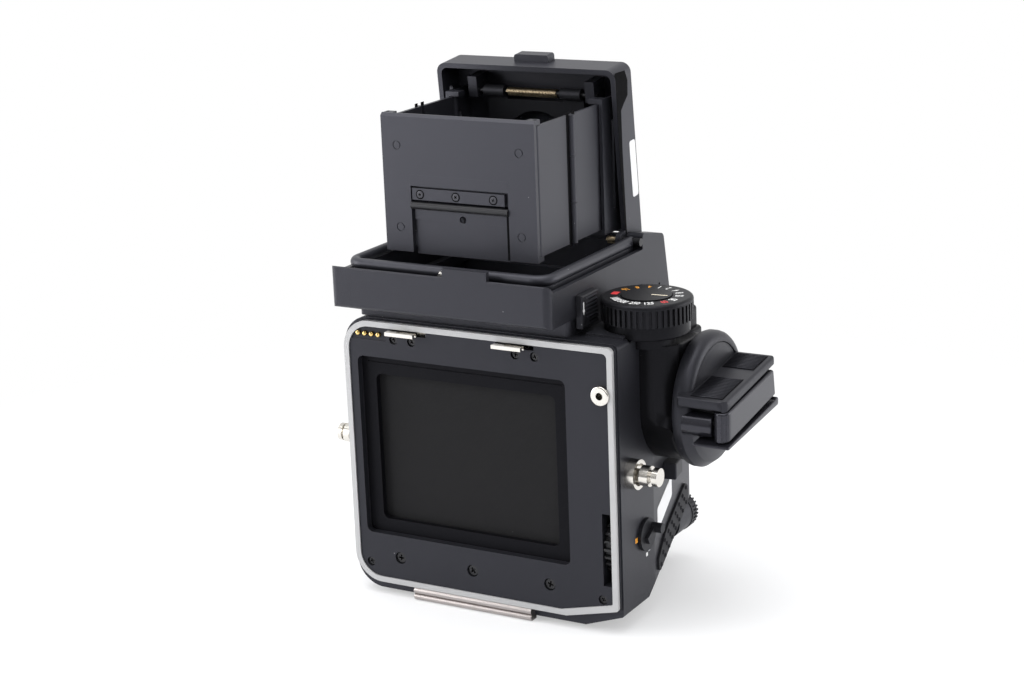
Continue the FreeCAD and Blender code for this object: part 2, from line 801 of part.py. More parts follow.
def make_multi_lever():
    face = -body_right
    disc = rod(multi_radius, V(face - 0.1, multi_y, multi_z), V(face - 0.1 - multi_thick, multi_y, multi_z))
    spindle = rod(multi_spindle_radius, V(face + 1.6, multi_y, multi_z), V(face, multi_y, multi_z))
    spindle = spindle.fuse(rod(multi_spindle_radius, V(face, multi_y, multi_z),
                               V(face - 0.6, multi_y, multi_z)))
    bar = box(face - 0.1 - multi_thick, face - 2.3, multi_y - multi_knob_offset, multi_y + 2.6,
              multi_z - 1.1, multi_z + 1.1)
    knob = rod(multi_knob_radius, V(face - 1.0, multi_y - multi_knob_offset, multi_z),
               V(face - 1.0 - multi_knob_height, multi_y - multi_knob_offset, multi_z))
    lever = disc.fuse(spindle).fuse(bar).fuse(knob)
    lever = turned(lever, -28, V(0, multi_y, multi_z), X)
    save("multi_lever", whole(lever))


def make_crank_housing():
    """Arched housing behind the crank disc, with the round corner under the dial."""
    rear = housing_rear
    front = crank_y - housing_radius
    arch = rod(housing_radius, crank_at(-40), crank_at(-housing_face))
    arch = arch.fuse(box(-40, -housing_face, rear, front, crank_z, housing_top))
    plan = rounded([V(-40, rear, 40), V(-housing_face, rear, 40), V(-housing_face, front, 40),
                    V(-40, front, 40)],
                   [0, housing_corner, 2.5, 0], V(0, 0, 60))
    x, y0, y1, high = shoulder
    knob = rounded([V(-40, y0, 70), V(x, y0, 70), V(x, y1, 70), V(-40, y1, 70)], [0, 2.5, 2.5, 0],
                   V(0, 0, high - 70))
    knob = soften(knob, 0.8, lambda e: e.BoundBox.ZMin > high - 0.1)
    housing = arch.common(plan).fuse(knob).cut(plan_outline())
    housing = housing.cut(rod(crank_spindle_radius + run_gap, crank_at(-40), crank_at(-housing_face - 1)))
    stem = rod(stem_radius, V(dial_x, dial_y, housing_top - 1), V(dial_x, dial_y, column_top + 0.5))
    neck = rod(neck_radius, V(dial_x, dial_y, column_top), V(dial_x, dial_y, neck_top))
    neck = neck.fuse(stem.cut(plan_outline()))
    neck = neck.cut(rod(dial_shaft_radius, V(dial_x, dial_y, column_top - 1),
                        V(dial_x, dial_y, neck_top + 1)))
    save("crank_housing", whole(housing.fuse(neck)))


def make_dial():
    low = neck_top + slide_gap
    dial = rod(dial_radius, V(dial_x, dial_y, low), V(dial_x, dial_y, dial_top))
    dial = soften(dial, dial_round, lambda e: e.BoundBox.ZMin > dial_top - 0.1)
    groove_width = 2 * math.pi * dial_radius / dial_grooves * 0.5
    groove = box(dial_x + dial_radius - groove_depth, dial_x + dial_radius + 1, dial_y - groove_width / 2,
                 dial_y + groove_width / 2, low - 1, dial_top - 1.4)
    step = 360.0 / dial_grooves
    grooves = [turned(groove, i * step, V(dial_x, dial_y, 0), Z) for i in range(dial_grooves)]
    dial = dial.cut(Part.makeCompound(grooves))
    floor = dial_top - dial_cap_depth
    well = rod(dial_cap_radius + slide_gap, V(dial_x, dial_y, floor - slide_gap),
               V(dial_x, dial_y, dial_top + 1))
    bore = rod(dial_shaft_radius + run_gap, V(dial_x, dial_y, low - 1), V(dial_x, dial_y, dial_top))
    save("speed_dial", whole(dial.cut(well).cut(bore)))
    cap = rod(dial_cap_radius, V(dial_x, dial_y, floor), V(dial_x, dial_y, dial_top + 0.3))
    shaft = rod(dial_shaft_radius, V(dial_x, dial_y, column_top), V(dial_x, dial_y, floor + 0.5))
    save("dial_cap", whole(cap.fuse(shaft)))


def tilted(shape):
    """The handle lies a few degrees off level across the disc."""
    return turned(shape, -arm_tilt, crank_centre, X)


def crank_at(x, y=0.0, z=0.0):
    """Point measured from the crank axis."""
    return V(x, crank_y + y, crank_z + z)


def crank_block(x0, x1, y0, y1, z0, z1):
    return box(x0, x1, crank_y + y0, crank_y + y1, crank_z + z0, crank_z + z1)


def arm_bore(radius, x0, x1):
    return rod(radius, crank_at(x0, arm_pin_y, arm_pin_z), crank_at(x1, arm_pin_y, arm_pin_z))


def make_crank():
    face = -housing_face - slide_gap
    plate = face - hub_thick
    hub = rod(hub_radius, crank_at(face), crank_at(plate))
    hub = soften(hub, 1.2, lambda e: e.BoundBox.XMax < plate + 0.1)
    ring = rod(hub_radius - 1.4, crank_at(plate), crank_at(plate - 0.5))
    hub = hub.fuse(ring.cut(rod(hub_radius - hub_rim, crank_at(plate + 1), crank_at(plate - 1))))
    dome = Part.makeCone(hub_radius - hub_rim - 0.8, hub_radius - 7, hub_dome, crank_at(plate), V(-1, 0, 0))
    seat = tilted(crank_block(plate + 0.5, arm_back + slide_gap, seat_rear, 2 - arm_front, arm_low + 0.6,
                              arm_high + slide_gap))
    bore = rod(crank_spindle_radius, crank_at(face + 1), crank_at(plate - 1))
    pin_bore = tilted(arm_bore(arm_pin_radius, face + 1, arm_back))
    barrel_room = tilted(arm_bore(barrel_radius + run_gap, plate - 0.5, arm_back))
    save("crank_hub", whole(hub.fuse(dome).cut(barrel_room).fuse(seat).cut(bore).cut(pin_bore)))

    # Slab over the handle, with two ribbed pads on top
    low = arm_high + slide_gap
    slab = crank_block(plate + 0.5, slab_face, arm_rear, -slab_front, low, slab_high)
    slab = soften(slab, 0.8, lambda e: e.BoundBox.XMax < slab_face + 0.1)
    ribs = []
    for start in pad_starts:
        for i in range(pad_rib_count):
            y = start - i * pad_rib_pitch
            ribs.append(crank_block(pad_outer, pad_inner, y, y - pad_rib_pitch / 2, slab_high - 0.3,
                                    slab_high + 1))
    swing = arm_bore(arm_sweep, arm_back + slide_gap, arm_face - 2)
    slab = slab.cut(Part.makeCompound(ribs)).cut(swing)
    save("crank_slab", whole(tilted(slab).cut(hub.fuse(dome))))

    # Handle on its glossy hinge barrel, which swings down from the disc
    pin_room = arm_bore(arm_pin_radius + run_gap, plate + 1, arm_pin_end - slide_gap)
    barrel = arm_bore(barrel_radius, plate - 0.6, arm_back)
    save("crank_barrel", whole(tilted(barrel.cut(pin_room))))
    arm = crank_block(arm_back, arm_face, arm_rear, -arm_front, arm_low, arm_high)
    arm = soften(arm, arm_end_radius, lambda e: (
        abs(e.tangentAt(0).x) > 0.9 and e.BoundBox.YMin > crank_y + arm_rear - 0.1))
    arm = soften(arm, 0.6, lambda e: e.BoundBox.XMax < arm_face + 0.1)
    flange = crank_block(arm_back - 1.0, flange_face, flange_rear, -arm_front - 0.5,
                         arm_low - flange_thick, arm_low + 0.3)
    lip = crank_block(arm_face + 1.5, flange_face, -arm_front, -arm_front - 0.6, arm_low - flange_thick,
                      arm_low + 2.5)
    save("crank_arm", whole(tilted(arm.fuse(flange).fuse(lip).cut(pin_room))))
    pin = arm_bore(arm_pin_radius, face - 0.5, arm_pin_end)
    spindle = rod(crank_spindle_radius, crank_at(-body_right + 8.9), crank_at(plate - 1))
    save("crank_pins", Part.makeCompound([tilted(pin), spindle]))

    tab = box(-body_right - 0.1, -body_right - tab_out, tab_y - tab_half, tab_y + tab_half, tab_low, tab_high)
    tab = soften(tab, 0.5, lambda e: e.BoundBox.XMax < -body_right - tab_out + 0.1)
    side = taper_at(tab_y + tab_half)
    slope = math.degrees(math.atan2(taper_in, taper_start + body_front))
    tab = moved(turned(tab, slope, V(-body_right, tab_y + tab_half, 0), Z), x=side + body_right)
    save("crank_catch", tab)


def taper_at(y):
    """x of the crank side's face at y."""
    if y > taper_start:
        return -body_right
    return -body_right + taper_in * (taper_start - y) / (taper_start + body_front)


def make_release():
    face = -body_front
    collar = rod(collar_radius, V(release_x, face - 0.1, release_z),
                 V(release_x, face - collar_length, release_z))
    collar = collar.cut(rod(button_radius + slide_gap, V(release_x, face + 1, release_z),
                            V(release_x, face - collar_length - 1, release_z)))
    groove = box(release_x + collar_radius - 0.5, release_x + collar_radius + 1, face - 0.8,
                 face - collar_length - 1,
                 release_z - 0.35, release_z + 0.35)
    cuts = [turned(groove, i * 360.0 / collar_ridges, V(release_x, 0, release_z),
                   Y) for i in range(collar_ridges)]
    save("release_collar", whole(collar.cut(Part.makeCompound(cuts))))
    button = rod(button_radius, V(release_x, face + 4 - button_travel - 0.3, release_z),
                 V(release_x, face - collar_length - 0.6, release_z))
    button = soften(button, 0.6, lambda e: e.BoundBox.YMax < face - collar_length)
    save("release_button", button)
    button = rod(lens_button_radius, V(lens_button_x, face + 4 - lens_button_travel - 0.3, lens_button_z),
                 V(lens_button_x, face - lens_button_proud, lens_button_z))
    button = soften(button, 0.8, lambda e: e.BoundBox.YMax < face - lens_button_proud + 0.1)
    save("lens_release", Part.makeCompound([button, lock_pin()]))


def make_mount():
    front = -body_front - mount_proud
    ring = rod(mount_outer, V(0, front, lens_z), V(0, front + mount_thick, lens_z))
    ring = ring.cut(rod(throat_radius, V(0, front - 1, lens_z), V(0, front + mount_thick + 1, lens_z)))
    lug_wall = rod(throat_radius + 2.2, V(0, front + 1.4, lens_z), V(0, front + mount_thick + 1, lens_z))
    ring = ring.cut(lug_wall)
    wedge = prism([V(0, front + 1.4, lens_z), V(60, front + 1.4, lens_z - 22),
                   V(60, front + 1.4, lens_z + 22)],
                  V(0, mount_lug_depth, 0))
    lugs = []
    for i in range(3):
        lug = turned(wedge, 90 + i * 120, V(0, 0, lens_z), Y)
        lug = lug.common(rod(throat_radius + 2.2, V(0, front, lens_z), V(0, front + 6, lens_z)))
        lugs.append(lug.cut(rod(throat_radius, V(0, front - 1, lens_z), V(0, front + 8, lens_z))))
    for lug in lugs:
        ring = ring.fuse(lug)
    x, z = lock_pin_at()
    ring = ring.cut(rod(lock_pin_radius + run_gap, V(x, front - 1, z), V(x, front + 6, z)))
    screws = []
    for i in range(mount_screw_count):
        angle = math.radians(20 + 90 * i)
        sx = mount_screw_circle * math.cos(angle)
        sz = lens_z + mount_screw_circle * math.sin(angle)
        ring = ring.cut(rod(mount_screw_radius, V(sx, front - 1, sz), V(sx, front + 0.9, sz)))
        screw = rod(mount_screw_radius, V(sx, front + 0.9, sz), V(sx, front + 0.15, sz))
        slot = box(sx - 0.7, sx + 0.7, front - 1, front + 0.4, sz - 0.2, sz + 0.2)
        screws.append(screw.cut(slot))
    save("lens_mount_ring", whole(ring))
    save("mount_screws", Part.makeCompound(screws))


def make_mirror():
    """Mirror on its carrier, leaning 45 degrees, hinged at its upper rear edge."""
    axis = V(0, mirror_axis_y, mirror_axis_z)
    z0 = mirror_axis_z - mirror_thick / 2
    glass = box(-mirror_half, mirror_half, mirror_axis_y - 4, mirror_axis_y - mirror_length, z0 + 1.2,
                z0 + 1.2 + 1.4)
    plate = box(-mirror_half, mirror_half, mirror_axis_y - 2.0, mirror_axis_y - mirror_length, z0, z0 + 1.2)
    barrel = rod(mirror_pin_radius + 1.1, V(-mirror_half, mirror_axis_y, mirror_axis_z),
                 V(mirror_half, mirror_axis_y, mirror_axis_z))
    web = box(-mirror_half, mirror_half, mirror_axis_y, mirror_axis_y - 3, z0, z0 + 1.2)
    bore = rod(mirror_pin_radius + run_gap, V(-mirror_half - 1, mirror_axis_y, mirror_axis_z),
               V(mirror_half + 1, mirror_axis_y, mirror_axis_z))
    carrier = plate.fuse(web).fuse(barrel).cut(bore).cut(glass)
    save("mirror_carrier", whole(turned(carrier, 45, axis, X)))
    save("mirror_glass", turned(glass, 45, axis, X))
    pin = rod(mirror_pin_radius, V(-chamber_half - 3, mirror_axis_y, mirror_axis_z),
              V(chamber_half + 3, mirror_axis_y, mirror_axis_z))
    save("mirror_pin", pin)


def make_screen():
    glass = box(-screen_half, screen_half, screen_front, screen_rear, screen_under,
                screen_under + screen_thick)
    save("focusing_screen", glass)


def make_sync():
    body = rod(sync_radius, V(body_left_at(sync_y) - 1.0, sync_y, sync_z),
               V(body_left + sync_out, sync_y, sync_z))
    body = body.fuse(rod(sync_radius - 1.2, V(body_left - 5, sync_y, sync_z), V(body_left, sync_y, sync_z)))
    body = body.cut(rod(sync_bore + 0.9, V(body_left - 3, sync_y, sync_z), V(body_left + 5, sync_y, sync_z)))
    body = body.fuse(rod(sync_bore - 0.9, V(body_left - 4, sync_y, sync_z),
                         V(body_left + sync_out - 0.6, sync_y, sync_z)))
    save("sync_socket", whole(body))


def body_left_at(y):
    if y > left_taper_start:
        return body_left
    return body_left - left_taper_in * (left_taper_start - y) / (left_taper_start + body_front)


def make_grip_pad():
    """Dimpled pad along the lower edge of the leaning side face."""
    start = V(-body_right, taper_start, 0)
    end = V(-body_right + taper_in, -body_front, 0)
    angle = math.degrees(math.atan2(end.y - start.y, end.x - start.x))
    rise = grip_rise / (end - start).Length * (taper_start + body_front) / grip_run
    def edge_z(s):
        return grip_rear_z + rise * s
    outline = [V(2, 0, edge_z(2) + 1.2), V(34, 0, edge_z(34) + 1.2), V(34, 0, edge_z(34) + 9),
               V(10, 0, edge_z(10) + 9), V(2, 0, edge_z(2) + 6)]
    pad = rounded(outline, [1.5, 2.5, 3, 3, 1.5], V(0, -pad_thick, 0))
    bumps = []
    for i in range(pad_columns):
        for j in range(pad_rows):
            along = 4.2 + i * pad_bump_pitch + (j % 2) * pad_bump_pitch / 2
            height = edge_z(along) + 2.6 + j * 2.4
            if along > 32.5 or (i == 0 and j > 1):
                continue
            bumps.append(Part.makeCone(0.8, 0.45, 0.5, V(along, -pad_thick + 0.05, height), V(0, -1, 0)))
    pad = whole(pad.multiFuse(bumps))
    pad = turned(pad, angle, V(0, 0, 0), Z)
    save("grip_pad", moved(pad, start.x, start.y, 0))


def top_pad():
    """Low raised pad on the top face, behind the dial."""
    x0, x1, y0, y1 = top_cover
    plate = box(x0, x1, y0, y1, body_top, body_top + top_cover_thick)
    return plate.cut(rod(neck_radius + 0.3, V(dial_x, dial_y, 0), V(dial_x, dial_y, 200)))


def finder_neck():
    """Narrower part of the finder base that stands on the body."""
    outer = box(-neck_half, neck_half, neck_front, neck_rear, body_top, finder_bottom)
    outer = soften(outer, 1.5, lambda e: abs(e.tangentAt(0).z) > 0.9)
    inner = box(-neck_open_half, neck_open_half, neck_open_front, neck_open_rear, body_top - 1,
                finder_bottom + 1)
    column = rod(column_radius + 0.4, V(dial_x, dial_y, 0), V(dial_x, dial_y, 200))
    return outer.cut(inner).cut(column)


def make_finder_base():
    side = [V(-finder_half, finder_rear, finder_bottom), V(-finder_half, finder_rear, finder_rear_top),
            V(-finder_half, finder_rear - 3, finder_side_top), V(-finder_half, cheek_rear, finder_side_top),
            V(-finder_half, cheek_rear, cheek_top), V(-finder_half, -brow_top_front, cheek_top_front),
            V(-finder_half, -brow_front, body_top), V(-finder_half, neck_front, body_top),
            V(-finder_half, neck_front, finder_bottom)]
    radii = [1.5, 0.4, 0, 0.4, 1.5, 2.2, 0.6, 0.6, 0]
    block = rounded(side, radii, V(2 * finder_half, 0, 0))
    plan = [V(finder_half, -60, 80), V(finder_half, finder_rear, 80), V(-finder_half, finder_rear, 80),
            V(-finder_half, -60, 80)]
    block = block.common(rounded(plan, [0, 2, 2, 0], V(0, 0, 40)))
    inner_half = finder_half - finder_wall
    inner_rear = finder_rear - finder_wall
    floor = finder_bottom + ledge_thick
    hollow = box(-inner_half, inner_half, cheek_rear, inner_rear, floor, 200)
    front_room = box(-finder_half + cheek_thick, finder_half - cheek_thick, ledge_open_front - 4,
                     cheek_rear + 1,
                     floor + 6.8, 200)
    front_well = box(-ledge_open_half, ledge_open_half, ledge_open_front, cheek_rear + 1, floor - 1, 200)
    opening = box(-ledge_open_half, ledge_open_half, ledge_open_front, ledge_open_rear, finder_bottom - 1,
                  floor + 1)
    above_side = box(-inner_half, inner_half, -brow_front - 1, cheek_rear, finder_rear_top - 3, 200)
    above_side = above_side.common(box(-finder_half + cheek_thick, finder_half - cheek_thick, -60, 60, 0,
                                       300))
    base = block.cut(hollow).cut(front_room).cut(front_well).cut(opening).cut(above_side)
    # The lower rear edge steps up in the middle to meet the rim
    tab = box(catch_left, catch_right, finder_rear, inner_rear, finder_rear_top - 1,
              finder_rear_top + catch_height)
    base = base.fuse(tab)
    pins = rod(lid_pin_radius, V(-finder_half - 1, hinge_y, hinge_z), V(finder_half + 1, hinge_y, hinge_z))
    column = rod(dial_radius + notch_margin, V(dial_x, dial_y, neck_top - 1),
                 V(dial_x, dial_y, dial_top + 1.5))
    slot = box(-finder_half - 1, -finder_half + finder_wall + 1, slider_y - 1.4 - slide_gap,
               slider_y + 1.4 + slide_gap, slider_high - 3.2 - slider_travel - slide_gap, slider_high - 1.4 + slide_gap)
    base = base.cut(pins).cut(column).cut(slot)
    save("finder_base", whole(base.fuse(finder_neck())))


def make_rim():
    """Round-edged frame that the lid shuts against, open at the front."""
    front = cheek_rear + 0.4
    path = [V(rim_half, front, rim_z), V(rim_half, rim_rear - rim_corner, rim_z),
            V(rim_half - rim_corner, rim_rear, rim_z), V(-rim_half + rim_corner, rim_rear, rim_z),
            V(-rim_half, rim_rear - rim_corner, rim_z), V(-rim_half, front, rim_z)]
    bend = rim_corner * (1 - math.sqrt(0.5))
    edges = [Part.LineSegment(path[0], path[1]).toShape(),
             Part.Arc(path[1], V(rim_half - bend, rim_rear - bend, rim_z), path[2]).toShape(),
             Part.LineSegment(path[2], path[3]).toShape(),
             Part.Arc(path[3], V(-rim_half + bend, rim_rear - bend, rim_z), path[4]).toShape(),
             Part.LineSegment(path[4], path[5]).toShape()]
    wire = Part.Wire(edges)
    section = Part.Wire(Part.makeCircle(rim_radius, path[0], Y))
    tube = wire.makePipeShell([section], True, False)
    floor = finder_bottom + ledge_thick
    inner = rim_half - rim_skirt / 2
    outer = rim_half + rim_skirt / 2
    def frame(half, rear, corner):
        plan = [V(half, front, floor), V(half, rear, floor), V(-half, rear, floor), V(-half, front, floor)]
        return rounded(plan, [0, corner, corner, 0], V(0, 0, rim_z - floor))
    skirt = frame(outer, rim_rear + rim_skirt / 2, rim_corner + rim_skirt / 2)
    skirt = skirt.cut(moved(frame(inner, rim_rear - rim_skirt / 2, rim_corner - rim_skirt / 2), y=0))
    stub = box(-inner, inner, front - 1, front, floor - 1, rim_z + 5)
    pins = rod(lid_pin_radius, V(-finder_half - 1, hinge_y, hinge_z), V(finder_half + 1, hinge_y, hinge_z))
    save("finder_rim", whole(tube.fuse(skirt).cut(stub).cut(pins)))


def make_slider():
    face = -finder_half - slide_gap
    pad = box(face, face - slider_out, slider_y - slider_half, slider_y + slider_half, slider_low,
              slider_high)
    pad = soften(pad, 0.5, lambda e: e.BoundBox.XMax < face - slider_out + 0.1)
    step = (slider_high - slider_low - 1.6) / slider_ribs
    for i in range(slider_ribs):
        z = slider_low + 1.1 + i * step
        pad = pad.cut(box(face - slider_out + 0.6, face - slider_out - 1, slider_y - slider_half - 1,
                          slider_y + slider_half - 4.2, z, z + step * 0.5))
    stem = box(face - 0.5, -finder_half + finder_wall + 0.6, slider_y - 1.4, slider_y + 1.4,
               slider_high - 3.2, slider_high - 1.4)
    save("finder_slider", whole(pad.fuse(stem)))


def make_thumb():
    """Small ribbed thumb piece that frees the lid, between the rim and the base's rear wall."""
    rear = finder_rear - finder_wall - seat_gap
    front = rim_rear + rim_radius + 0.4
    centre_z = thumb_top - thumb_half
    stem = box(thumb_x - 1.5, thumb_x + 1.5, front, rear, finder_bottom + ledge_thick + slide_gap, centre_z)
    roll = rod(thumb_half, V(thumb_x, front, centre_z), V(thumb_x, rear, centre_z))
    roll = roll.common(box(-60, 60, 0, 60, centre_z, 200))
    cut = box(thumb_x - 0.2, thumb_x + 0.2, front - 1, rear + 1, thumb_top - 0.4, thumb_top + 2)
    cuts = [turned(cut, a, V(thumb_x, 0, centre_z), Y) for a in (-60, -36, -12, 12, 36, 60)]
    save("hood_release", whole(stem.fuse(roll).cut(Part.makeCompound(cuts))))


hinge = V(0, hinge_y, hinge_z)


def lid_box(x0, x1, n0, n1, u0, u1):
    """Box in the lid's own directions: n is behind the hinge axis, u is up the lid."""
    return box(x0, x1, hinge_y + n0, hinge_y + n1, hinge_z + u0, hinge_z + u1)


def lean(shape):
    return turned(shape, -lid_lean, hinge, X)


def make_lid():
    back = -lid_behind
    face = back - lid_depth
    outer = lid_box(-lid_half, lid_half, face, back, lid_low, lid_high)
    outer = soften(outer, lid_corner, lambda e: (
        abs(e.tangentAt(0).y) > 0.9 and e.BoundBox.ZMin > hinge_z + lid_high - 1))
    outer = soften(outer, 1.5, lambda e: e.BoundBox.YMax < hinge_y + face + 0.01)
    hollow = lid_box(-lid_half + lid_wall, lid_half - lid_wall, face + lid_wall, back + 1,
                     lid_low - 1, lid_high - lid_wall)
    hollow = soften(hollow, lid_corner - 1, lambda e: (
        abs(e.tangentAt(0).y) > 0.9 and e.BoundBox.ZMin > hinge_z + lid_high - 3))
    lid = outer.cut(hollow)
    for side in (-1, 1):
        near = side * (lid_half - lid_wall)
        far = side * lid_half
        ear = rod(lid_ear_radius, V(near, hinge_y, hinge_z), V(far, hinge_y, hinge_z))
        arm = lid_box(near, far, back - 2, 0.5, 0.4, lid_ear_radius)
        lid = lid.fuse(ear).fuse(arm)
    bore = rod(lid_pin_radius + run_gap, V(-60, hinge_y, hinge_z), V(60, hinge_y, hinge_z))
    lid = lid.cut(bore)
    # Two lugs that carry the magnifier's rod
    for side in (-1, 1):
        x = side * (mag_rod_half - 2.0)
        lug = lid_box(x - 1.5, x + 1.5, face + lid_wall - 0.5, mag_n() + 1.8, mag_u() - 1.8, mag_u() + 4.5)
        lid = lid.fuse(lug)
    lid = lid.cut(rod(mag_rod_radius, V(-60, hinge_y + mag_n(), hinge_z + mag_u()),
                      V(60, hinge_y + mag_n(), hinge_z + mag_u())))
    save("hood_lid", whole(lean(lid)))
    catch = lid_box(-tab_lid_half, tab_lid_half, face + 2.5, face + 2.5 + tab_lid_thick, lid_high,
                    lid_high + tab_lid_height)
    catch = soften(catch, 0.8, lambda e: abs(e.tangentAt(0).y) > 0.9 and e.BoundBox.ZMin > hinge_z + lid_high + 1)
    save("lid_catch", lean(catch))
    pins = []
    for side in (-1, 1):
        pins.append(rod(lid_pin_radius, V(side * (lid_half - lid_wall - 0.3), hinge_y, hinge_z),
                        V(side * finder_half, hinge_y, hinge_z)))
    save("lid_pins", Part.makeCompound(pins))


def mag_n():
    return (rod_y - hinge_y) * math.cos(math.radians(lid_lean)) - (mag_rod_z - hinge_z) * math.sin(math.radians(lid_lean))


def mag_u():
    return (rod_y - hinge_y) * math.sin(math.radians(lid_lean)) + (mag_rod_z - hinge_z) * math.cos(math.radians(lid_lean))


def leaf_x(out=0.0):
    """x of a side's hinge line, moved outwards by some distance, on the crank side."""
    return -(box_half - leaf_thick) - out


axis_a = leaf_axis_front
axis_m = leaf_axis_front + leaf_span
axis_c = leaf_axis_front + 2 * leaf_span
knuckle_length = (box_high - box_low) / 3


def make_leaves():
    """Two leaves on each side that fold inwards on a hinge between them."""
    inner = leaf_x()
    outer = leaf_x(leaf_thick)
    pin_x0 = leaf_x(leaf_knuckle)
    low = box_low + ear_thick + slide_gap
    high = box_high - ear_thick - slide_gap
    def barrel(y):
        return rod(edge_barrel, V(inner, y, low), V(inner, y, high))
    def trunnion(y):
        return rod(edge_pin, V(inner, y, box_low + 0.2), V(inner, y, box_high - 0.2))
    def knuckle(z0, z1):
        return rod(knuckle_radius, V(pin_x0, axis_m, z0), V(pin_x0, axis_m, z1))
    mid_low = box_low + knuckle_length
    mid_high = box_high - knuckle_length
    front = box(inner, outer, axis_a, axis_m - leaf_edge, low,
                high).fuse(barrel(axis_a)).fuse(trunnion(axis_a))
    front = front.fuse(box(inner - 0.35, outer, axis_m - leaf_edge, axis_m, mid_low, mid_high))
    front = front.fuse(knuckle(mid_low, mid_high))
    front = front.cut(rod(knuckle_pin + run_gap, V(pin_x0, axis_m, mid_low - 1),
                          V(pin_x0, axis_m, mid_high + 1)))
    rear = box(inner, outer, axis_m + leaf_edge, axis_c, low, high).fuse(barrel(axis_c)).fuse(trunnion(axis_c))
    for z0, z1 in ((low, mid_low - slide_gap), (mid_high + slide_gap, high)):
        rear = rear.fuse(box(inner - 0.35, outer, axis_m, axis_m + leaf_edge, z0, z1)).fuse(knuckle(z0, z1))
    rear = rear.fuse(rod(knuckle_pin, V(pin_x0, axis_m, low + 0.5), V(pin_x0, axis_m, high - 0.5)))
    save("right_front_leaf", whole(front))
    save("right_rear_leaf", whole(rear))
    save("left_front_leaf", mirrored(whole(front)))
    save("left_rear_leaf", mirrored(whole(rear)))


def make_brackets():
    """Side brackets inside the lid that hold the front edges of the leaves."""
    tan = math.tan(math.radians(lid_lean))
    inner_n = -lid_behind - lid_depth + lid_wall
    def lid_face(z):
        base = hinge_y + inner_n / math.cos(math.radians(lid_lean))
        return base + (z - hinge_z) * tan
    x = leaf_x(leaf_thick) - bracket_play
    end = axis_a + edge_barrel + 0.5
    plate = prism([V(x, lid_face(box_low), box_low), V(x, end, box_low), V(x, end, box_high),
                   V(x, lid_face(box_high), box_high)], V(-bracket_thick, 0, 0))
    window = box(x + 1, x - 3, lid_face(box_high) + 5, axis_a - 4.5, box_low + 7, box_high - 7)
    bracket = plate.cut(window)
    for z in (box_low, box_high - ear_thick):
        ear = box(x, leaf_x() + 2.2, axis_a - 2.2, end, z, z + ear_thick)
        bracket = bracket.fuse(ear)
    bracket = bracket.cut(rod(edge_pin + run_gap, V(leaf_x(), axis_a, box_low - 1),
                              V(leaf_x(), axis_a, box_high + 1)))
    save("hood_brackets", Part.makeCompound([whole(bracket), mirrored(whole(bracket))]))


def make_rear_wall():
    outer = wall_outer
    inner = outer - wall_thick
    wall = box(-box_half, box_half, inner, outer, box_low, box_high)
    window = box(-window_half, window_half, inner - 1, outer + 1, box_low - 1, window_top)
    wall = wall.cut(window)
    for side in (-1, 1):
        for z in (box_low, box_high - ear_thick):
            ear = box(side * (box_half - 0.2), side * (box_half - leaf_thick - 2.2), axis_c - 1.4,
                      inner + 0.2,
                      z, z + ear_thick)
            wall = wall.fuse(ear)
        wall = wall.cut(rod(edge_pin + run_gap, V(-side * leaf_x(), axis_c, box_low - 1),
                            V(-side * leaf_x(), axis_c, box_high + 1)))
        for z in rivet_zs:
            ring = rod(rivet_radius, V(side * rivet_xs, outer + 1, z), V(side * rivet_xs, outer - 0.2, z))
            ring = ring.cut(rod(rivet_radius - 0.3, V(side * rivet_xs, outer + 2, z),
                                V(side * rivet_xs, outer - 1, z)))
            wall = wall.cut(ring)
    edge = prism([V(-60, outer, box_high), V(-60, outer - top_chamfer, box_high),
                  V(-60, outer, box_high - top_chamfer)], V(120, 0, 0))
    wall = wall.cut(edge)
    save("hood_rear_wall", whole(wall))
    strip = box(-strip_half, strip_half, inner - 0.8, outer - 0.2, strip_low - 0.6, window_top - 0.6)
    tongue = box(-window_half - 3, window_half + 3, inner - 0.8, inner, strip_low, window_top + 2.5)
    strip = strip.fuse(tongue)
    screws = []
    for x in wall_screw_xs:
        strip = strip.cut(rod(wall_screw_radius, V(x, outer, strip_mid()), V(x, outer - 1.0, strip_mid())))
        screw = rod(wall_screw_radius, V(x, outer - 0.4, strip_mid()), V(x, outer - 1.0, strip_mid()))
        cross = box(x - 0.7, x + 0.7, outer - 0.7, outer, strip_mid() - 0.2, strip_mid() + 0.2)
        cross = cross.fuse(box(x - 0.2, x + 0.2, outer - 0.7, outer, strip_mid() - 0.7, strip_mid() + 0.7))
        screws.append(screw.cut(cross))
    save("hinge_strip", whole(strip))
    save("strip_screws", Part.makeCompound(screws))
    bar = rod(rod_radius, V(-window_half + 0.1, outer - 0.3, rod_z), V(window_half - 0.1, outer - 0.3, rod_z))
    save("hinge_rod", bar)
    plate = box(-strip_half, strip_half, inner - 0.4, outer - 0.9, box_low - 0.6, rod_z - rod_radius + 0.35)
    plate = plate.cut(box(-60, 60, outer - 1.3, outer + 1, 0, link_step_z))
    plate = plate.cut(rod(1.1, V(-0.5, inner - 2, rod_z - 3.4), V(-0.5, outer + 1, rod_z - 3.4)))
    side_tabs = box(-window_half - 2.5, window_half + 2.5, inner - 0.9, inner, box_low + 1.5, box_low + 6)
    side_tabs = side_tabs.cut(box(-window_half + 1, window_half - 1, 0, 60, 0, 200))
    plate = plate.cut(rod(rod_radius + 0.02, V(-60, outer - 0.3, rod_z), V(60, outer - 0.3, rod_z)))
    save("link_plate", whole(plate.fuse(side_tabs)))


def strip_mid():
    return (strip_low + window_top) / 2


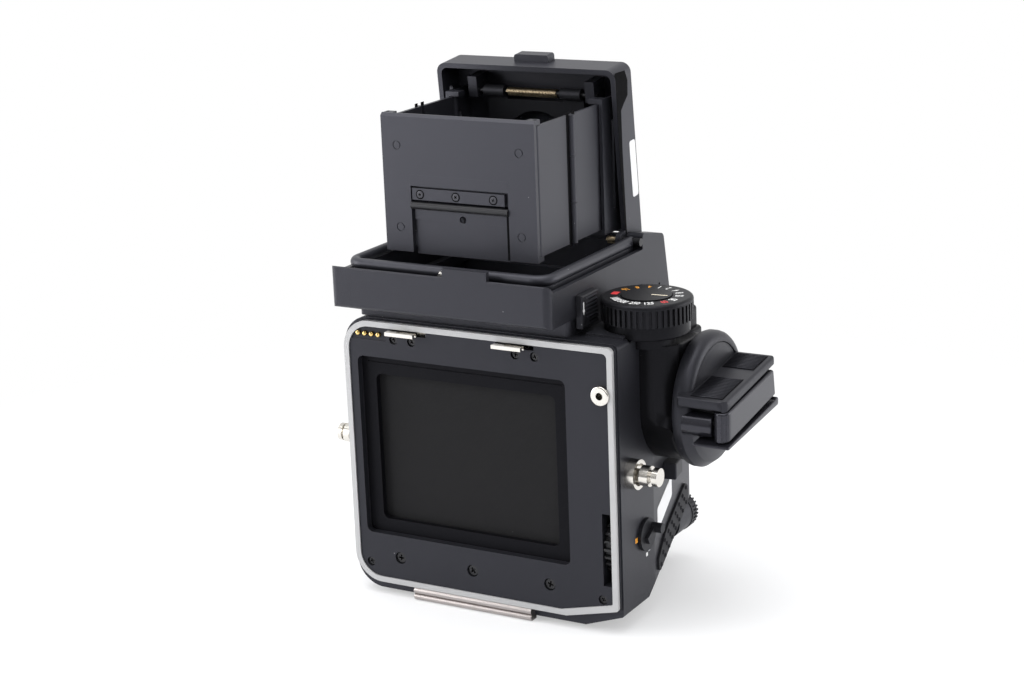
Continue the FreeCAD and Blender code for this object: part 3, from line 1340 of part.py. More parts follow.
def make_magnifier():
    n = mag_n()
    u = mag_u()
    def at(x, dn, du):
        return V(x, hinge_y + n + dn, hinge_z + u + du)
    bar = rod(mag_rod_radius, at(-mag_rod_half, 0, 0), at(mag_rod_half, 0, 0))
    save("magnifier_rod", lean(bar))
    front = -1.9
    plate = lid_box(-mag_half, mag_half, n + front, n + front + mag_plate, u - mag_reach, u + 0.4)
    plate = soften(plate, 4.0, lambda e: abs(e.tangentAt(0).y) > 0.9 and e.BoundBox.ZMin < hinge_z + u - mag_reach + 1)
    lens_u = -mag_reach + mag_ring_outer + 1.2
    ring = rod(mag_ring_outer, at(0, front + mag_plate, lens_u),
               at(0, front + mag_plate - mag_ring_thick, lens_u))
    bore = rod(mag_glass + 0.0, at(0, 5, lens_u), at(0, -10, lens_u))
    arm = plate.fuse(ring)
    for side in (-1, 1):
        barrel = rod(mag_rod_radius + 0.9, at(side * (coil_half + 1.0), 0, 0), at(side * mag_half, 0, 0))
        arm = arm.fuse(barrel)
    gap = lid_box(-coil_half - 0.9, coil_half + 0.9, n - 3, n + 3, u - 2.6, u + 3)
    arm = arm.cut(bore).cut(gap)
    arm = arm.cut(rod(mag_rod_radius + run_gap, at(-60, 0, 0), at(60, 0, 0)))
    save("magnifier_arm", whole(lean(arm)))
    glass_low = front + mag_plate - mag_ring_thick + 0.8
    glass = rod(mag_glass, at(0, glass_low, lens_u), at(0, glass_low + 1.4, lens_u))
    dome = Part.makeSphere(38.0, at(0, glass_low + 1.4 + 1.0 - 38.0, lens_u))
    dome = dome.common(rod(mag_glass, at(0, glass_low + 1.2, lens_u), at(0, glass_low + 4, lens_u)))
    save("magnifier_lens", whole(lean(glass.fuse(dome))))
    # Return spring wound round the rod between the two barrels
    pitch = 2 * coil_half / coil_turns
    helix = Part.makeHelix(pitch, 2 * coil_half, coil_radius - coil_wire / 2)
    start = helix.Vertexes[0].Point
    section = Part.Wire(Part.makeCircle(coil_wire / 2, start, Y))
    coil = Part.Wire(helix.Edges).makePipeShell([section], True, True)
    coil.rotate(V(0, 0, 0), Y, 90)
    coil.translate(at(-coil_half, 0, 0))
    save("magnifier_spring", lean(coil))


make_body()
make_rear_plate()
make_rear_trim()
make_gate()
make_contacts()
make_latch()
make_rear_fittings()
make_base()
make_studs()
make_multi_lever()
make_crank_housing()
make_dial()
make_crank()
make_release()
make_mount()
make_mirror()
make_screen()
make_sync()
make_grip_pad()
make_finder_base()
make_rim()
make_slider()
make_thumb()
make_lid()
make_leaves()
make_brackets()
make_rear_wall()
make_magnifier()
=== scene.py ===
import bpy
import bmesh
import math
from mathutils import Matrix, Vector


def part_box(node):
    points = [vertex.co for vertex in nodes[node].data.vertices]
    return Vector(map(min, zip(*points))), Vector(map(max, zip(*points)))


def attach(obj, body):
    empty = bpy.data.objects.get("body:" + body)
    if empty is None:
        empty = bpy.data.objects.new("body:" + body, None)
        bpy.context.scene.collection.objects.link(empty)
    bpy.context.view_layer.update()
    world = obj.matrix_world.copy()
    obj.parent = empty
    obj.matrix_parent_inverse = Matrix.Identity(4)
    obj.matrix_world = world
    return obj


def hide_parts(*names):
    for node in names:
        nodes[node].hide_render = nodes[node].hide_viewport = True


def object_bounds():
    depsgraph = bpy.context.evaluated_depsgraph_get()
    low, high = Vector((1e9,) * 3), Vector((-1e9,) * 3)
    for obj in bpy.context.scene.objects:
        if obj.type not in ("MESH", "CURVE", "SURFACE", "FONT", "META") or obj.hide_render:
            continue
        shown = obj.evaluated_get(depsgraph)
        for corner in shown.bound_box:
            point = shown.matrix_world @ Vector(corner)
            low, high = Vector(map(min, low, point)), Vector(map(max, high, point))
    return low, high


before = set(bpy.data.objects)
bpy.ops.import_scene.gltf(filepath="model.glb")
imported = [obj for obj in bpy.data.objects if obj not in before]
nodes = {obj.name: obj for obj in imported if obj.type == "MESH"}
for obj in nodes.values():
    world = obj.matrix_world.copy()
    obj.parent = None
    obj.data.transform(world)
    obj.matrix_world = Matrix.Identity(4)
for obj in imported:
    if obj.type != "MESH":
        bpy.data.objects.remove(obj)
cadLow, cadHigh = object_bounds()
mm = 0.001
dialLow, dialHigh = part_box("speed_dial")
dialCentre = (dialLow + dialHigh) / 2
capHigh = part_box("dial_cap")[1]


def point(x, y, z):
    """A point in millimetres of the row frame, in metres."""
    return Vector((x * mm, y * mm, z * mm))


# Camera of the photograph, solved from the film gate and the edges of the body
photoCamera = {"place": (-317.0, 541.5, 251.4),
               "right": (-0.8692, -0.4931, -0.0373),
               "ahead": (0.4839, -0.8327, -0.2693),
               "lens": 76.3, "sensor": 36.0, "clip": (0.01, 50.0)}


def makeCamera(values):
    data = bpy.data.cameras.new("photoCamera")
    data.sensor_width = values["sensor"]
    data.lens = values["lens"]
    camera = bpy.data.objects.new("photoCamera", data)
    right, ahead = Vector(values["right"]).normalized(), Vector(values["ahead"]).normalized()
    right = (right - ahead * right.dot(ahead)).normalized()
    up = right.cross(ahead)
    turn = Matrix((right, up, -ahead)).transposed()
    camera.matrix_world = Matrix.Translation(point(*values["place"])) @ turn.to_4x4()
    data.clip_start, data.clip_end = values["clip"]
    bpy.context.scene.collection.objects.link(camera)
    bpy.context.scene.camera = camera


# Soft boxes, each with its place, the point it looks at, its size and its power
lamps = {
    "topBox": {"place": (40, 120, 900), "aim": (0, 0, 60), "size": (900, 800), "power": 7.0},
    "leftBox": {"place": (760, 520, 300), "aim": (0, 0, 70), "size": (700, 600), "power": 7.5},
    "rightBox": {"place": (-750, -480, 160), "aim": (-50, 0, 60), "size": (600, 600), "power": 3.5},
    "rearBox": {"place": (-520, 480, 520), "aim": (-60, 0, 70), "size": (400, 400), "power": 1.0},
}
# The room is pale behind the object and above it, and dim to the right of the camera
worldLight = {"colour": (1.0, 1.0, 1.0), "towards": (0.30, -0.72, 0.62), "reach": 0.75, "dim": 0.10,
              "bright": 0.95}
floorLook = {"half": 900.0, "under": 0.2, "colour": (0.86, 0.865, 0.88), "rough": 0.95, "near": 60.0,
             "far": 300.0, "glow": 0.42}


def makeLamps(table):
    for name, values in table.items():
        data = bpy.data.lights.new(name, "AREA")
        data.shape = "RECTANGLE"
        data.size, data.size_y = values["size"][0] * mm, values["size"][1] * mm
        data.energy = values["power"]
        lamp = bpy.data.objects.new(name, data)
        place, aim = point(*values["place"]), point(*values["aim"])
        lamp.location = place
        lamp.rotation_mode = "QUATERNION"
        lamp.rotation_quaternion = (aim - place).to_track_quat("-Z", "Y")
        bpy.context.scene.collection.objects.link(lamp)


def give(tree, node, inputs):
    """Sets a node's inputs, by label or number, to values, or links them from sockets."""
    for label, value in inputs.items():
        socket = node.inputs[label]
        if isinstance(value, bpy.types.NodeSocket):
            tree.links.new(value, socket)
        elif socket.type == "RGBA" and len(value) == 3:
            socket.default_value = (*value, 1)
        else:
            socket.default_value = value


def addNode(tree, kind, inputs=None, **settings):
    node = tree.nodes.new(kind)
    for label, value in settings.items():
        setattr(node, label, value)
    give(tree, node, inputs or {})
    return node


def mathNode(tree, operation, *values, clamp=False):
    return addNode(tree, "ShaderNodeMath", dict(enumerate(values)), operation=operation,
                   use_clamp=clamp).outputs[0]


def objectPlace(tree):
    return tree.nodes.new("ShaderNodeTexCoord").outputs["Object"]


def newMaterial(name):
    material = bpy.data.materials.new(name)
    material.use_nodes = True
    tree = material.node_tree
    return material, tree, tree.nodes["Principled BSDF"]


def seenRays(tree):
    """Camera and transmission rays as one value, for what lies behind the object."""
    path = tree.nodes.new("ShaderNodeLightPath").outputs
    return mathNode(tree, "MAXIMUM", path["Is Camera Ray"], path["Is Transmission Ray"])


def makeWorld(values):
    world = bpy.data.worlds.new("studio")
    bpy.context.scene.world = world
    world.use_nodes = True
    tree = world.node_tree
    tree.nodes.clear()
    place = tree.nodes.new("ShaderNodeTexCoord").outputs["Generated"]
    dot = addNode(tree, "ShaderNodeVectorMath", {0: place, 1: Vector(values["towards"]).normalized()},
                  operation="DOT_PRODUCT")
    level = addNode(tree, "ShaderNodeMapRange", {
        "Value": dot.outputs["Value"], "From Min": -values["reach"], "From Max": values["reach"],
        "To Min": values["dim"], "To Max": values["bright"]})
    lighting = addNode(tree, "ShaderNodeBackground",
                       {"Color": values["colour"], "Strength": level.outputs[0]})
    backdrop = addNode(tree, "ShaderNodeBackground", {"Color": (1, 1, 1)})
    mix = addNode(tree, "ShaderNodeMixShader",
                  {0: seenRays(tree), 1: lighting.outputs[0], 2: backdrop.outputs[0]})
    addNode(tree, "ShaderNodeOutputWorld", {"Surface": mix.outputs[0]})


def makeFloor(values):
    """Pale floor that turns into the white background away from the object."""
    half = values["half"] * mm
    low = cadLow.z - values["under"] * mm
    mesh = bpy.data.meshes.new("floor")
    mesh.from_pydata([(-half, -half, low), (half, -half, low), (half, half, low), (-half, half, low)],
                     [], [(0, 1, 2, 3)])
    floor = bpy.data.objects.new("floor", mesh)
    bpy.context.scene.collection.objects.link(floor)
    material, tree, surface = newMaterial("paleFloor")
    give(tree, surface, {"Base Color": values["colour"], "Roughness": values["rough"],
                         "Specular IOR Level": 0.0})
    away = addNode(tree, "ShaderNodeVectorMath", {0: objectPlace(tree)}, operation="LENGTH")
    fade = addNode(tree, "ShaderNodeMapRange", {
        "Value": away.outputs["Value"], "From Min": values["near"] * mm, "From Max": values["far"] * mm,
        "To Min": values["glow"]}, interpolation_type="SMOOTHSTEP")
    shown = mathNode(tree, "MULTIPLY", fade.outputs[0], seenRays(tree))
    white = tree.nodes.new("ShaderNodeEmission")
    mix = addNode(tree, "ShaderNodeMixShader", {0: shown, 1: surface.outputs[0], 2: white.outputs[0]})
    give(tree, tree.nodes["Material Output"], {"Surface": mix.outputs[0]})
    floor.data.materials.append(material)


makeCamera(photoCamera)
makeLamps(lamps)
makeWorld(worldLight)
makeFloor(floorLook)
print("stage and camera made")


# Shader node groups shared by the materials
def newGroup(name, inputs, outputs):
    group = bpy.data.node_groups.new(name, "ShaderNodeTree")
    for label, kind, value in inputs:
        socket = group.interface.new_socket(label, in_out="INPUT", socket_type=kind)
        socket.default_value = value
    for label, kind in outputs:
        group.interface.new_socket(label, in_out="OUTPUT", socket_type=kind)
    return group, group.nodes.new("NodeGroupInput"), group.nodes.new("NodeGroupOutput")


def noiseNode(tree, scale, detail, place, roughness=0.55):
    return addNode(tree, "ShaderNodeTexNoise", {"Scale": scale, "Detail": detail, "Roughness": roughness,
                                                "Vector": place}).outputs["Fac"]


grainLook = {"fineDetail": 3.0, "fineRough": 0.6, "slowScale": 55.0, "slowDetail": 2.0}
wearLook = {"width": 0.00025, "samples": 4, "gain": 6.0, "noiseScale": 420.0, "noiseDetail": 4.0,
            "noiseRough": 0.65, "noiseFrom": 0.38, "noiseGain": 3.2}
dustLook = {"cellScale": 260.0, "speck": 0.045, "noiseScale": 130.0, "noiseDetail": 2.0, "noiseOver": 0.60,
            "colour": (0.42, 0.42, 0.43)}


def makeGrainGroup(values):
    """Fine grain of a sprayed or moulded surface: its normal, and a slow and a fine value from 0 to 1."""
    group, entry, leave = newGroup(
        "surfaceGrain",
        [("Scale", "NodeSocketFloat", 2500.0), ("Height", "NodeSocketFloat", 0.00002),
         ("Stretch", "NodeSocketVector", (1.0, 1.0, 1.0))],
        [("Normal", "NodeSocketVector"), ("Fine", "NodeSocketFloat"), ("Slow", "NodeSocketFloat")])
    given, place = entry.outputs, objectPlace(group)
    stretched = addNode(group, "ShaderNodeVectorMath", {0: place, 1: given["Stretch"]}, operation="MULTIPLY")
    fine = noiseNode(group, given["Scale"], values["fineDetail"], stretched.outputs[0], values["fineRough"])
    slow = noiseNode(group, values["slowScale"], values["slowDetail"], place)
    bump = addNode(group, "ShaderNodeBump", {"Strength": 1.0, "Distance": given["Height"], "Height": fine})
    give(group, leave, {"Normal": bump.outputs["Normal"], "Fine": fine, "Slow": slow})
    return group


def finishMask(group, entry, leave, mask):
    """Scales a mask by the group's Amount and hands it out."""
    give(group, leave, {"Mask": mathNode(group, "MULTIPLY", mask, entry.outputs["Amount"], clamp=True)})
    return group


def makeWearGroup(values):
    """Mask of the convex edges, broken up by noise, where paint is polished or rubbed thin."""
    group, entry, leave = newGroup(
        "edgeWear", [("Width", "NodeSocketFloat", values["width"]), ("Amount", "NodeSocketFloat", 0.5)],
        [("Mask", "NodeSocketFloat")])
    bevel = addNode(group, "ShaderNodeBevel", {"Radius": entry.outputs["Width"]}, samples=values["samples"])
    flat = group.nodes.new("ShaderNodeNewGeometry")
    dot = addNode(group, "ShaderNodeVectorMath", {0: bevel.outputs["Normal"], 1: flat.outputs["Normal"]},
                  operation="DOT_PRODUCT")
    turn = mathNode(group, "SUBTRACT", 1.0, dot.outputs["Value"], clamp=True)
    near = mathNode(group, "MULTIPLY", turn, values["gain"], clamp=True)
    broken = noiseNode(group, values["noiseScale"], values["noiseDetail"], objectPlace(group),
                       values["noiseRough"])
    above = mathNode(group, "SUBTRACT", broken, values["noiseFrom"])
    ragged = mathNode(group, "MULTIPLY", above, values["noiseGain"], clamp=True)
    return finishMask(group, entry, leave, mathNode(group, "MULTIPLY", near, ragged))


def makeDustGroup(values):
    """Scattered pale specks of dust, a few tenths of a millimetre across."""
    group, entry, leave = newGroup(
        "dustSpecks", [("Amount", "NodeSocketFloat", 0.5)], [("Mask", "NodeSocketFloat")])
    place = objectPlace(group)
    cells = addNode(group, "ShaderNodeTexVoronoi", {"Scale": values["cellScale"], "Vector": place})
    speck = mathNode(group, "LESS_THAN", cells.outputs["Distance"], values["speck"])
    chosen = noiseNode(group, values["noiseScale"], values["noiseDetail"], place)
    few = mathNode(group, "GREATER_THAN", chosen, values["noiseOver"])
    return finishMask(group, entry, leave, mathNode(group, "MULTIPLY", speck, few))


grainGroup = makeGrainGroup(grainLook)
wearGroup = makeWearGroup(wearLook)
dustGroup = makeDustGroup(dustLook)
print("shader groups made")


def useGroup(tree, group, values):
    return addNode(tree, "ShaderNodeGroup", values, node_tree=group).outputs


def mixColour(tree, factor, a, b):
    return addNode(tree, "ShaderNodeMix", {0: factor, 6: a, 7: b}, data_type="RGBA").outputs[2]


def mapValue(tree, value, low, high):
    return addNode(tree, "ShaderNodeMapRange", {"Value": value, "To Min": low, "To Max": high}).outputs[0]


def bumpNormal(tree, height, distance):
    """Normal of a bump by a height from 0 to 1, its full rise given in metres."""
    return addNode(tree, "ShaderNodeBump", {"Distance": distance, "Height": height}).outputs["Normal"]


# One row of values per finish: two linear colours that it drifts between, its least and most roughness, the
# scale of its grain and its height in microns, the colour of its worn edges, how far they show, and its dust;
# the last entry holds what only some finishes have
finishKeys = ("base", "other", "rough", "grain", "height", "worn", "wear", "dust")
finishRows = {
    "bodyPaint": ((0.0125, 0.0128, 0.016), (0.0165, 0.0168, 0.0205), (0.36, 0.47),
        2600, 35, (0.05, 0.05, 0.056), 0.55, 0.35, {"gloss": 0.36}),
    "platePaint": ((0.0118, 0.0122, 0.0152), (0.0148, 0.0152, 0.0185), (0.4, 0.5),
        3200, 22, (0.05, 0.05, 0.056), 0.45, 0.55, {"gloss": 0.27}),
    "gatePaint": ((0.0042, 0.0042, 0.0052), (0.0056, 0.0056, 0.0068), (0.42, 0.52),
        3200, 20, (0.03, 0.03, 0.034), 0.5, 0.5, {"gloss": 0.07}),
    "hoodPaint": ((0.0155, 0.016, 0.02), (0.0195, 0.02, 0.0248), (0.38, 0.48),
        3600, 16, (0.062, 0.062, 0.07), 0.5, 0.45, {"gloss": 0.48}),
    "mouldedBlack": ((0.009, 0.0092, 0.0106), (0.0122, 0.0125, 0.0144), (0.42, 0.55),
        1900, 30, (0.036, 0.036, 0.04), 0.5, 0.3, {"gloss": 0.28}),
    # dial: a darker copy of the moulded black, partly its own black and partly painted shade for the dim side
    # it faces
    "dialBlack": ((0.0046, 0.0046, 0.0052), (0.0064, 0.0064, 0.0072), (0.36, 0.48),
        1900, 18, (0.022, 0.022, 0.025), 0.4, 0.25, {"gloss": 0.2}),
    # housing: a darker copy of the moulded black, partly its own black and partly painted shade for the dim
    # side it faces
    "housingBlack": ((0.004, 0.004, 0.0046), (0.0056, 0.0056, 0.0064), (0.3, 0.42),
        2300, 18, (0.02, 0.02, 0.023), 0.4, 0.25, {"gloss": 0.12}),
    "crankPlastic": ((0.0105, 0.0108, 0.0134), (0.014, 0.0143, 0.0175), (0.36, 0.46),
        2300, 26, (0.045, 0.045, 0.052), 0.5, 0.3, {"gloss": 0.34}),
    "screwPaint": ((0.024, 0.024, 0.027), (0.034, 0.034, 0.038), (0.28, 0.4),
        1900, 10, (0.2, 0.2, 0.21), 0.8, 0.2, {}),
    "glossBlack": ((0.006, 0.006, 0.008), (0.0085, 0.0085, 0.011), (0.16, 0.24),
        900, 6, (0.03, 0.03, 0.034), 0.35, 0.3, {"gloss": 0.5}),
    "handleGloss": ((0.0075, 0.0075, 0.0098), (0.01, 0.01, 0.013), (0.2, 0.3),
        1500, 7, (0.034, 0.034, 0.04), 0.4, 0.3, {}),
    "gripRubber": ((0.0105, 0.0105, 0.0115), (0.015, 0.015, 0.0165), (0.58, 0.72),
        1500, 45, (0.03, 0.03, 0.033), 0.4, 0.5, {"gloss": 0.25}),
    "trimPaint": ((0.39, 0.39, 0.395), (0.45, 0.45, 0.455), (0.34, 0.46),
        1800, 10, (0.42, 0.41, 0.4), 0.6, 0.3, {"metal": 0.35}),
    "nickel": ((0.6, 0.575, 0.53), (0.68, 0.655, 0.61), (0.16, 0.27),
        1200, 5, (0.74, 0.72, 0.68), 0.5, 0.2, {"metal": 1}),
    "satinSteel": ((0.4, 0.395, 0.385), (0.5, 0.49, 0.475), (0.28, 0.4),
        500, 8, (0.6, 0.59, 0.57), 0.5, 0.2, {"metal": 1, "stretch": (0.05, 1.0, 1.0)}),
    "barSteel": ((0.38, 0.35, 0.34), (0.47, 0.43, 0.42), (0.3, 0.42),
        420, 10, (0.66, 0.64, 0.6), 0.6, 0.3, {"metal": 1, "stretch": (0.04, 1.0, 1.0)}),
    "blackSteel": ((0.022, 0.022, 0.024), (0.034, 0.034, 0.037), (0.28, 0.4),
        900, 8, (0.16, 0.155, 0.15), 0.6, 0.2, {"metal": 0.7}),
    "contactGold": ((0.8, 0.56, 0.2), (0.88, 0.66, 0.28), (0.18, 0.3),
        1500, 4, (0.9, 0.74, 0.42), 0.4, 0.1, {"metal": 1}),
    "shadeBlack": ((0.0022, 0.0022, 0.0024), (0.003, 0.003, 0.0033), (0.7, 0.85),
        1500, 10, (0.006, 0.006, 0.006), 0.2, 0.1, {"gloss": 0.06}),
    "springBronze": ((0.34, 0.27, 0.18), (0.45, 0.37, 0.25), (0.26, 0.38),
        900, 4, (0.55, 0.48, 0.36), 0.3, 0.2, {"metal": 1}),
}
finishes = {name: {**dict(zip(finishKeys, row)), **row[-1]} for name, row in finishRows.items()}
micron = 0.000001
paintSheen = (0.87, 0.87, 1.0)    # the black paints shine a little blue


def makeFinish(name, values):
    material, tree, surface = newMaterial(name)
    grain = useGroup(tree, grainGroup, {"Scale": values["grain"], "Height": values["height"] * micron,
                                        "Stretch": values.get("stretch", (1.0, 1.0, 1.0))})
    wear = useGroup(tree, wearGroup, {"Width": wearLook["width"], "Amount": values["wear"]})
    dust = useGroup(tree, dustGroup, {"Amount": values["dust"]})
    colour = mixColour(tree, grain["Slow"], values["base"], values["other"])
    colour = mixColour(tree, wear["Mask"], colour, values["worn"])
    colour = mixColour(tree, dust["Mask"], colour, dustLook["colour"])
    give(tree, surface, {"Base Color": colour, "Roughness": mapValue(tree, grain["Fine"], *values["rough"]),
                         "Normal": grain["Normal"], "Metallic": values.get("metal", 0.0),
                         "Specular IOR Level": values.get("gloss", 0.5)})
    if "metal" not in values:
        give(tree, surface, {"Specular Tint": paintSheen})
    return material


looks = {name: makeFinish(name, values) for name, values in finishes.items()}


clothLook = {"threads": 900.0, "distortion": 0.6, "low": (0.0060, 0.0060, 0.0068),
             "high": (0.0130, 0.0130, 0.0145), "patch": (0.0115, 0.0112, 0.0120), "patchScale": 70.0,
             "patchDetail": 3.0, "patchShare": 0.5, "dust": 0.25, "dustColour": (0.3, 0.3, 0.3),
             "rough": 0.78, "gloss": 0.18, "height": 0.00005}
frostLook = {"scale": 1400.0, "detail": 3.0, "spread": 0.2, "tintScale": 40.0, "tintDetail": 2.0,
             "tintDrop": 0.96, "index": 1.5, "height": 0.000004}
gridLook = {"offset": 0.1, "half": 0.0056, "line": 0.00009, "shift": 0.0008, "circle": 0.006, "ring": 0.00012,
            "ink": (0.12, 0.12, 0.13)}
mirrorLook = {"scale": 90.0, "detail": 4.0, "uneven": 0.7, "base": (0.86, 0.87, 0.89),
              "other": (0.92, 0.93, 0.93), "rough": (0.02, 0.07)}
inkLook = {"scale": 1100.0, "detail": 4.0, "uneven": 0.65, "smoother": 0.08, "rougher": 0.1,
           "height": 0.00001}


def makeCurtainCloth(values):
    """Rubberised shutter cloth: fine plain weave, almost without gloss."""
    material, tree, surface = newMaterial("curtainCloth")
    place = objectPlace(tree)
    waves = [addNode(tree, "ShaderNodeTexWave", {
        "Scale": values["threads"], "Distortion": values["distortion"], "Vector": place},
        bands_direction=direction).outputs["Fac"] for direction in ("X", "Z")]
    weave = mathNode(tree, "MULTIPLY", *waves)
    slow = noiseNode(tree, values["patchScale"], values["patchDetail"], place)
    colour = mixColour(tree, weave, values["low"], values["high"])
    colour = mixColour(tree, mapValue(tree, slow, 0.0, values["patchShare"]), colour, values["patch"])
    dust = useGroup(tree, dustGroup, {"Amount": values["dust"]})
    colour = mixColour(tree, dust["Mask"], colour, values["dustColour"])
    give(tree, surface, {"Base Color": colour, "Roughness": values["rough"],
                         "Specular IOR Level": values["gloss"],
                         "Normal": bumpNormal(tree, weave, values["height"])})
    return material


def gridLines(tree, place, values):
    """Ruled grid lines and a focusing circle, as a mask of 0 and 1."""
    parts = addNode(tree, "ShaderNodeSeparateXYZ", {0: place}).outputs
    lines = []
    for axis in ("X", "Y"):
        shifted = mathNode(tree, "ADD", parts[axis], values["offset"])
        lines.append(mathNode(tree, "LESS_THAN", mathNode(tree, "PINGPONG", shifted, values["half"]),
                              values["line"]))
    flat = addNode(tree, "ShaderNodeCombineXYZ",
                   {"X": parts["X"], "Y": mathNode(tree, "ADD", parts["Y"], values["shift"])})
    away = addNode(tree, "ShaderNodeVectorMath", {0: flat.outputs[0]}, operation="LENGTH")
    off = mathNode(tree, "ABSOLUTE", mathNode(tree, "SUBTRACT", away.outputs["Value"], values["circle"]))
    ring = mathNode(tree, "LESS_THAN", off, values["ring"])
    return mathNode(tree, "MAXIMUM", mathNode(tree, "MAXIMUM", *lines), ring)


def makeGlass(name, rough, colour, values, grid=None):
    material, tree, surface = newMaterial(name)
    place = objectPlace(tree)
    frost = noiseNode(tree, values["scale"], values["detail"], place)
    level = mapValue(tree, frost, rough * (1 - values["spread"]), rough * (1 + values["spread"]))
    slow = noiseNode(tree, values["tintScale"], values["tintDetail"], place)
    tint = mixColour(tree, slow, colour, tuple(c * values["tintDrop"] for c in colour))
    if grid:
        tint = mixColour(tree, gridLines(tree, place, grid), tint, grid["ink"])
    give(tree, surface, {"Transmission Weight": 1.0, "IOR": values["index"], "Base Color": tint,
                         "Roughness": level, "Normal": bumpNormal(tree, frost, values["height"])})
    return material


def makeMirror(values):
    material, tree, surface = newMaterial("mirrorSilver")
    haze = noiseNode(tree, values["scale"], values["detail"], objectPlace(tree), values["uneven"])
    colour = mixColour(tree, haze, values["base"], values["other"])
    give(tree, surface, {"Metallic": 1.0, "Base Color": colour,
                         "Roughness": mapValue(tree, haze, *values["rough"])})
    return material


def makePaint(name, colour, rough=0.5, spread=0.12):
    """Ink or paper of one colour, a little uneven and worn."""
    material, tree, surface = newMaterial(name)
    uneven = noiseNode(tree, inkLook["scale"], inkLook["detail"], objectPlace(tree), inkLook["uneven"])
    darker = tuple(c * (1 - spread) for c in colour)
    give(tree, surface, {
        "Base Color": mixColour(tree, uneven, darker, colour),
        "Roughness": mapValue(tree, uneven, rough - inkLook["smoother"], rough + inkLook["rougher"]),
        "Normal": bumpNormal(tree, uneven, inkLook["height"])})
    return material


inks = {"whiteInk": (0.80, 0.80, 0.80), "creamInk": (0.78, 0.70, 0.55), "redInk": (0.62, 0.030, 0.035),
        "orangeInk": (0.78, 0.33, 0.03)}
looks["curtainCloth"] = makeCurtainCloth(clothLook)
looks["groundGlass"] = makeGlass("groundGlass", 0.5, (0.86, 0.88, 0.87), frostLook, gridLook)
looks["lensGlass"] = makeGlass("lensGlass", 0.02, (0.95, 0.97, 0.98), frostLook)
looks["mirrorSilver"] = makeMirror(mirrorLook)
looks.update((name, makePaint(name, colour)) for name, colour in inks.items())
looks["labelPaper"] = makePaint("labelPaper", (0.84, 0.84, 0.85), rough=0.45, spread=0.05)

finishOf = {
    "bodyPaint": "body_shell finder_base base_plate",
    "platePaint": "rear_plate",
    "gatePaint": "gate_frame",
    "hoodPaint": "hood_lid lid_catch hood_brackets hood_rear_wall right_front_leaf right_rear_leaf "
                 "left_front_leaf left_rear_leaf finder_rim link_plate hinge_strip",
    "crankPlastic": "crank_hub crank_slab crank_arm",
    # the crank housing takes the darker copy of the black, partly painted shade
    "housingBlack": "crank_housing",
    # the dial and its cap take the darker copy of the black, partly painted shade
    "dialBlack": "speed_dial dial_cap",
    "mouldedBlack": "contact_block multi_lever release_collar crank_catch finder_slider magnifier_arm",
    "glossBlack": "crank_barrel release_button",
    "gripRubber": "grip_pad",
    "trimPaint": "rear_trim",
    "nickel": "strap_stud_left strap_stud_right drive_bushing latch_hooks lens_mount_ring tripod_socket "
              "sync_socket hood_release",
    "barSteel": "hinge_bar",
    "satinSteel": "film_gear_shaft crank_pins mirror_pin lens_release mirror_carrier",
    "blackSteel": "film_gear plate_screws strip_screws mount_screws hinge_rod lid_pins magnifier_rod",
    "contactGold": "contact_pins",
    "springBronze": "magnifier_spring",
    "curtainCloth": "shutter_curtain",
    "groundGlass": "focusing_screen",
    "lensGlass": "magnifier_lens",
    "mirrorSilver": "mirror_glass",
}
for look, names in finishOf.items():
    for name in names.split():
        mesh = nodes[name].data
        mesh.materials.clear()
        mesh.materials.append(looks[look])
bare = sorted(set(nodes) - set(" ".join(finishOf.values()).split()))
print("finishes on the CAD nodes, bare:", bare)


# Geometry Nodes for what repeats: one shape set on given points, made a plain mesh
def makeSpreadGroup(name):
    """Instances of the shape in Shape on the points of the mesh, turned and sized by the points' values."""
    group = bpy.data.node_groups.new(name, "GeometryNodeTree")
    for label, kind in (("Geometry", "Geometry"), ("Shape", "Object"), ("Scale Spread", "Float"),
                        ("Seed", "Int"), ("Material", "Material")):
        group.interface.new_socket(label, in_out="INPUT", socket_type="NodeSocket" + kind)
    group.interface.new_socket("Geometry", in_out="OUTPUT", socket_type="NodeSocketGeometry")
    given, leave = group.nodes.new("NodeGroupInput").outputs, group.nodes.new("NodeGroupOutput")
    shape = addNode(group, "GeometryNodeObjectInfo", {"Object": given["Shape"]}, transform_space="ORIGINAL")
    turn, grow = (addNode(group, "GeometryNodeInputNamedAttribute", {"Name": label},
                          data_type=kind).outputs[0] for label, kind in (("turn", "FLOAT_VECTOR"),
                                                                         ("grow", "FLOAT")))
    vary = addNode(group, "FunctionNodeRandomValue", {
        2: mathNode(group, "SUBTRACT", 1.0, given["Scale Spread"]),
        3: mathNode(group, "ADD", 1.0, given["Scale Spread"]), "Seed": given["Seed"]}, data_type="FLOAT")
    spread = addNode(group, "GeometryNodeInstanceOnPoints", {
        "Points": given["Geometry"], "Instance": shape.outputs["Geometry"], "Rotation": turn,
        "Scale": mathNode(group, "MULTIPLY", vary.outputs[1], grow)})
    real = addNode(group, "GeometryNodeRealizeInstances", {0: spread.outputs[0]})
    paint = addNode(group, "GeometryNodeSetMaterial", {"Geometry": real.outputs[0],
                                                       "Material": given["Material"]})
    give(group, leave, {0: paint.outputs[0]})
    return group


spreadGroup = makeSpreadGroup("spreadOnPoints")


def addMesh(name, mesh, look, body):
    piece = bpy.data.objects.new(name, mesh)
    bpy.context.scene.collection.objects.link(piece)
    mesh.materials.clear()
    mesh.materials.append(looks[look])
    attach(piece, body)
    return piece


def toMesh(bm, name, outward=True):
    """The mesh of a bmesh that is done with, its faces turned outward."""
    if outward:
        bmesh.ops.recalc_face_normals(bm, faces=bm.faces)
    mesh = bpy.data.meshes.new(name)
    bm.to_mesh(mesh)
    bm.free()
    return mesh


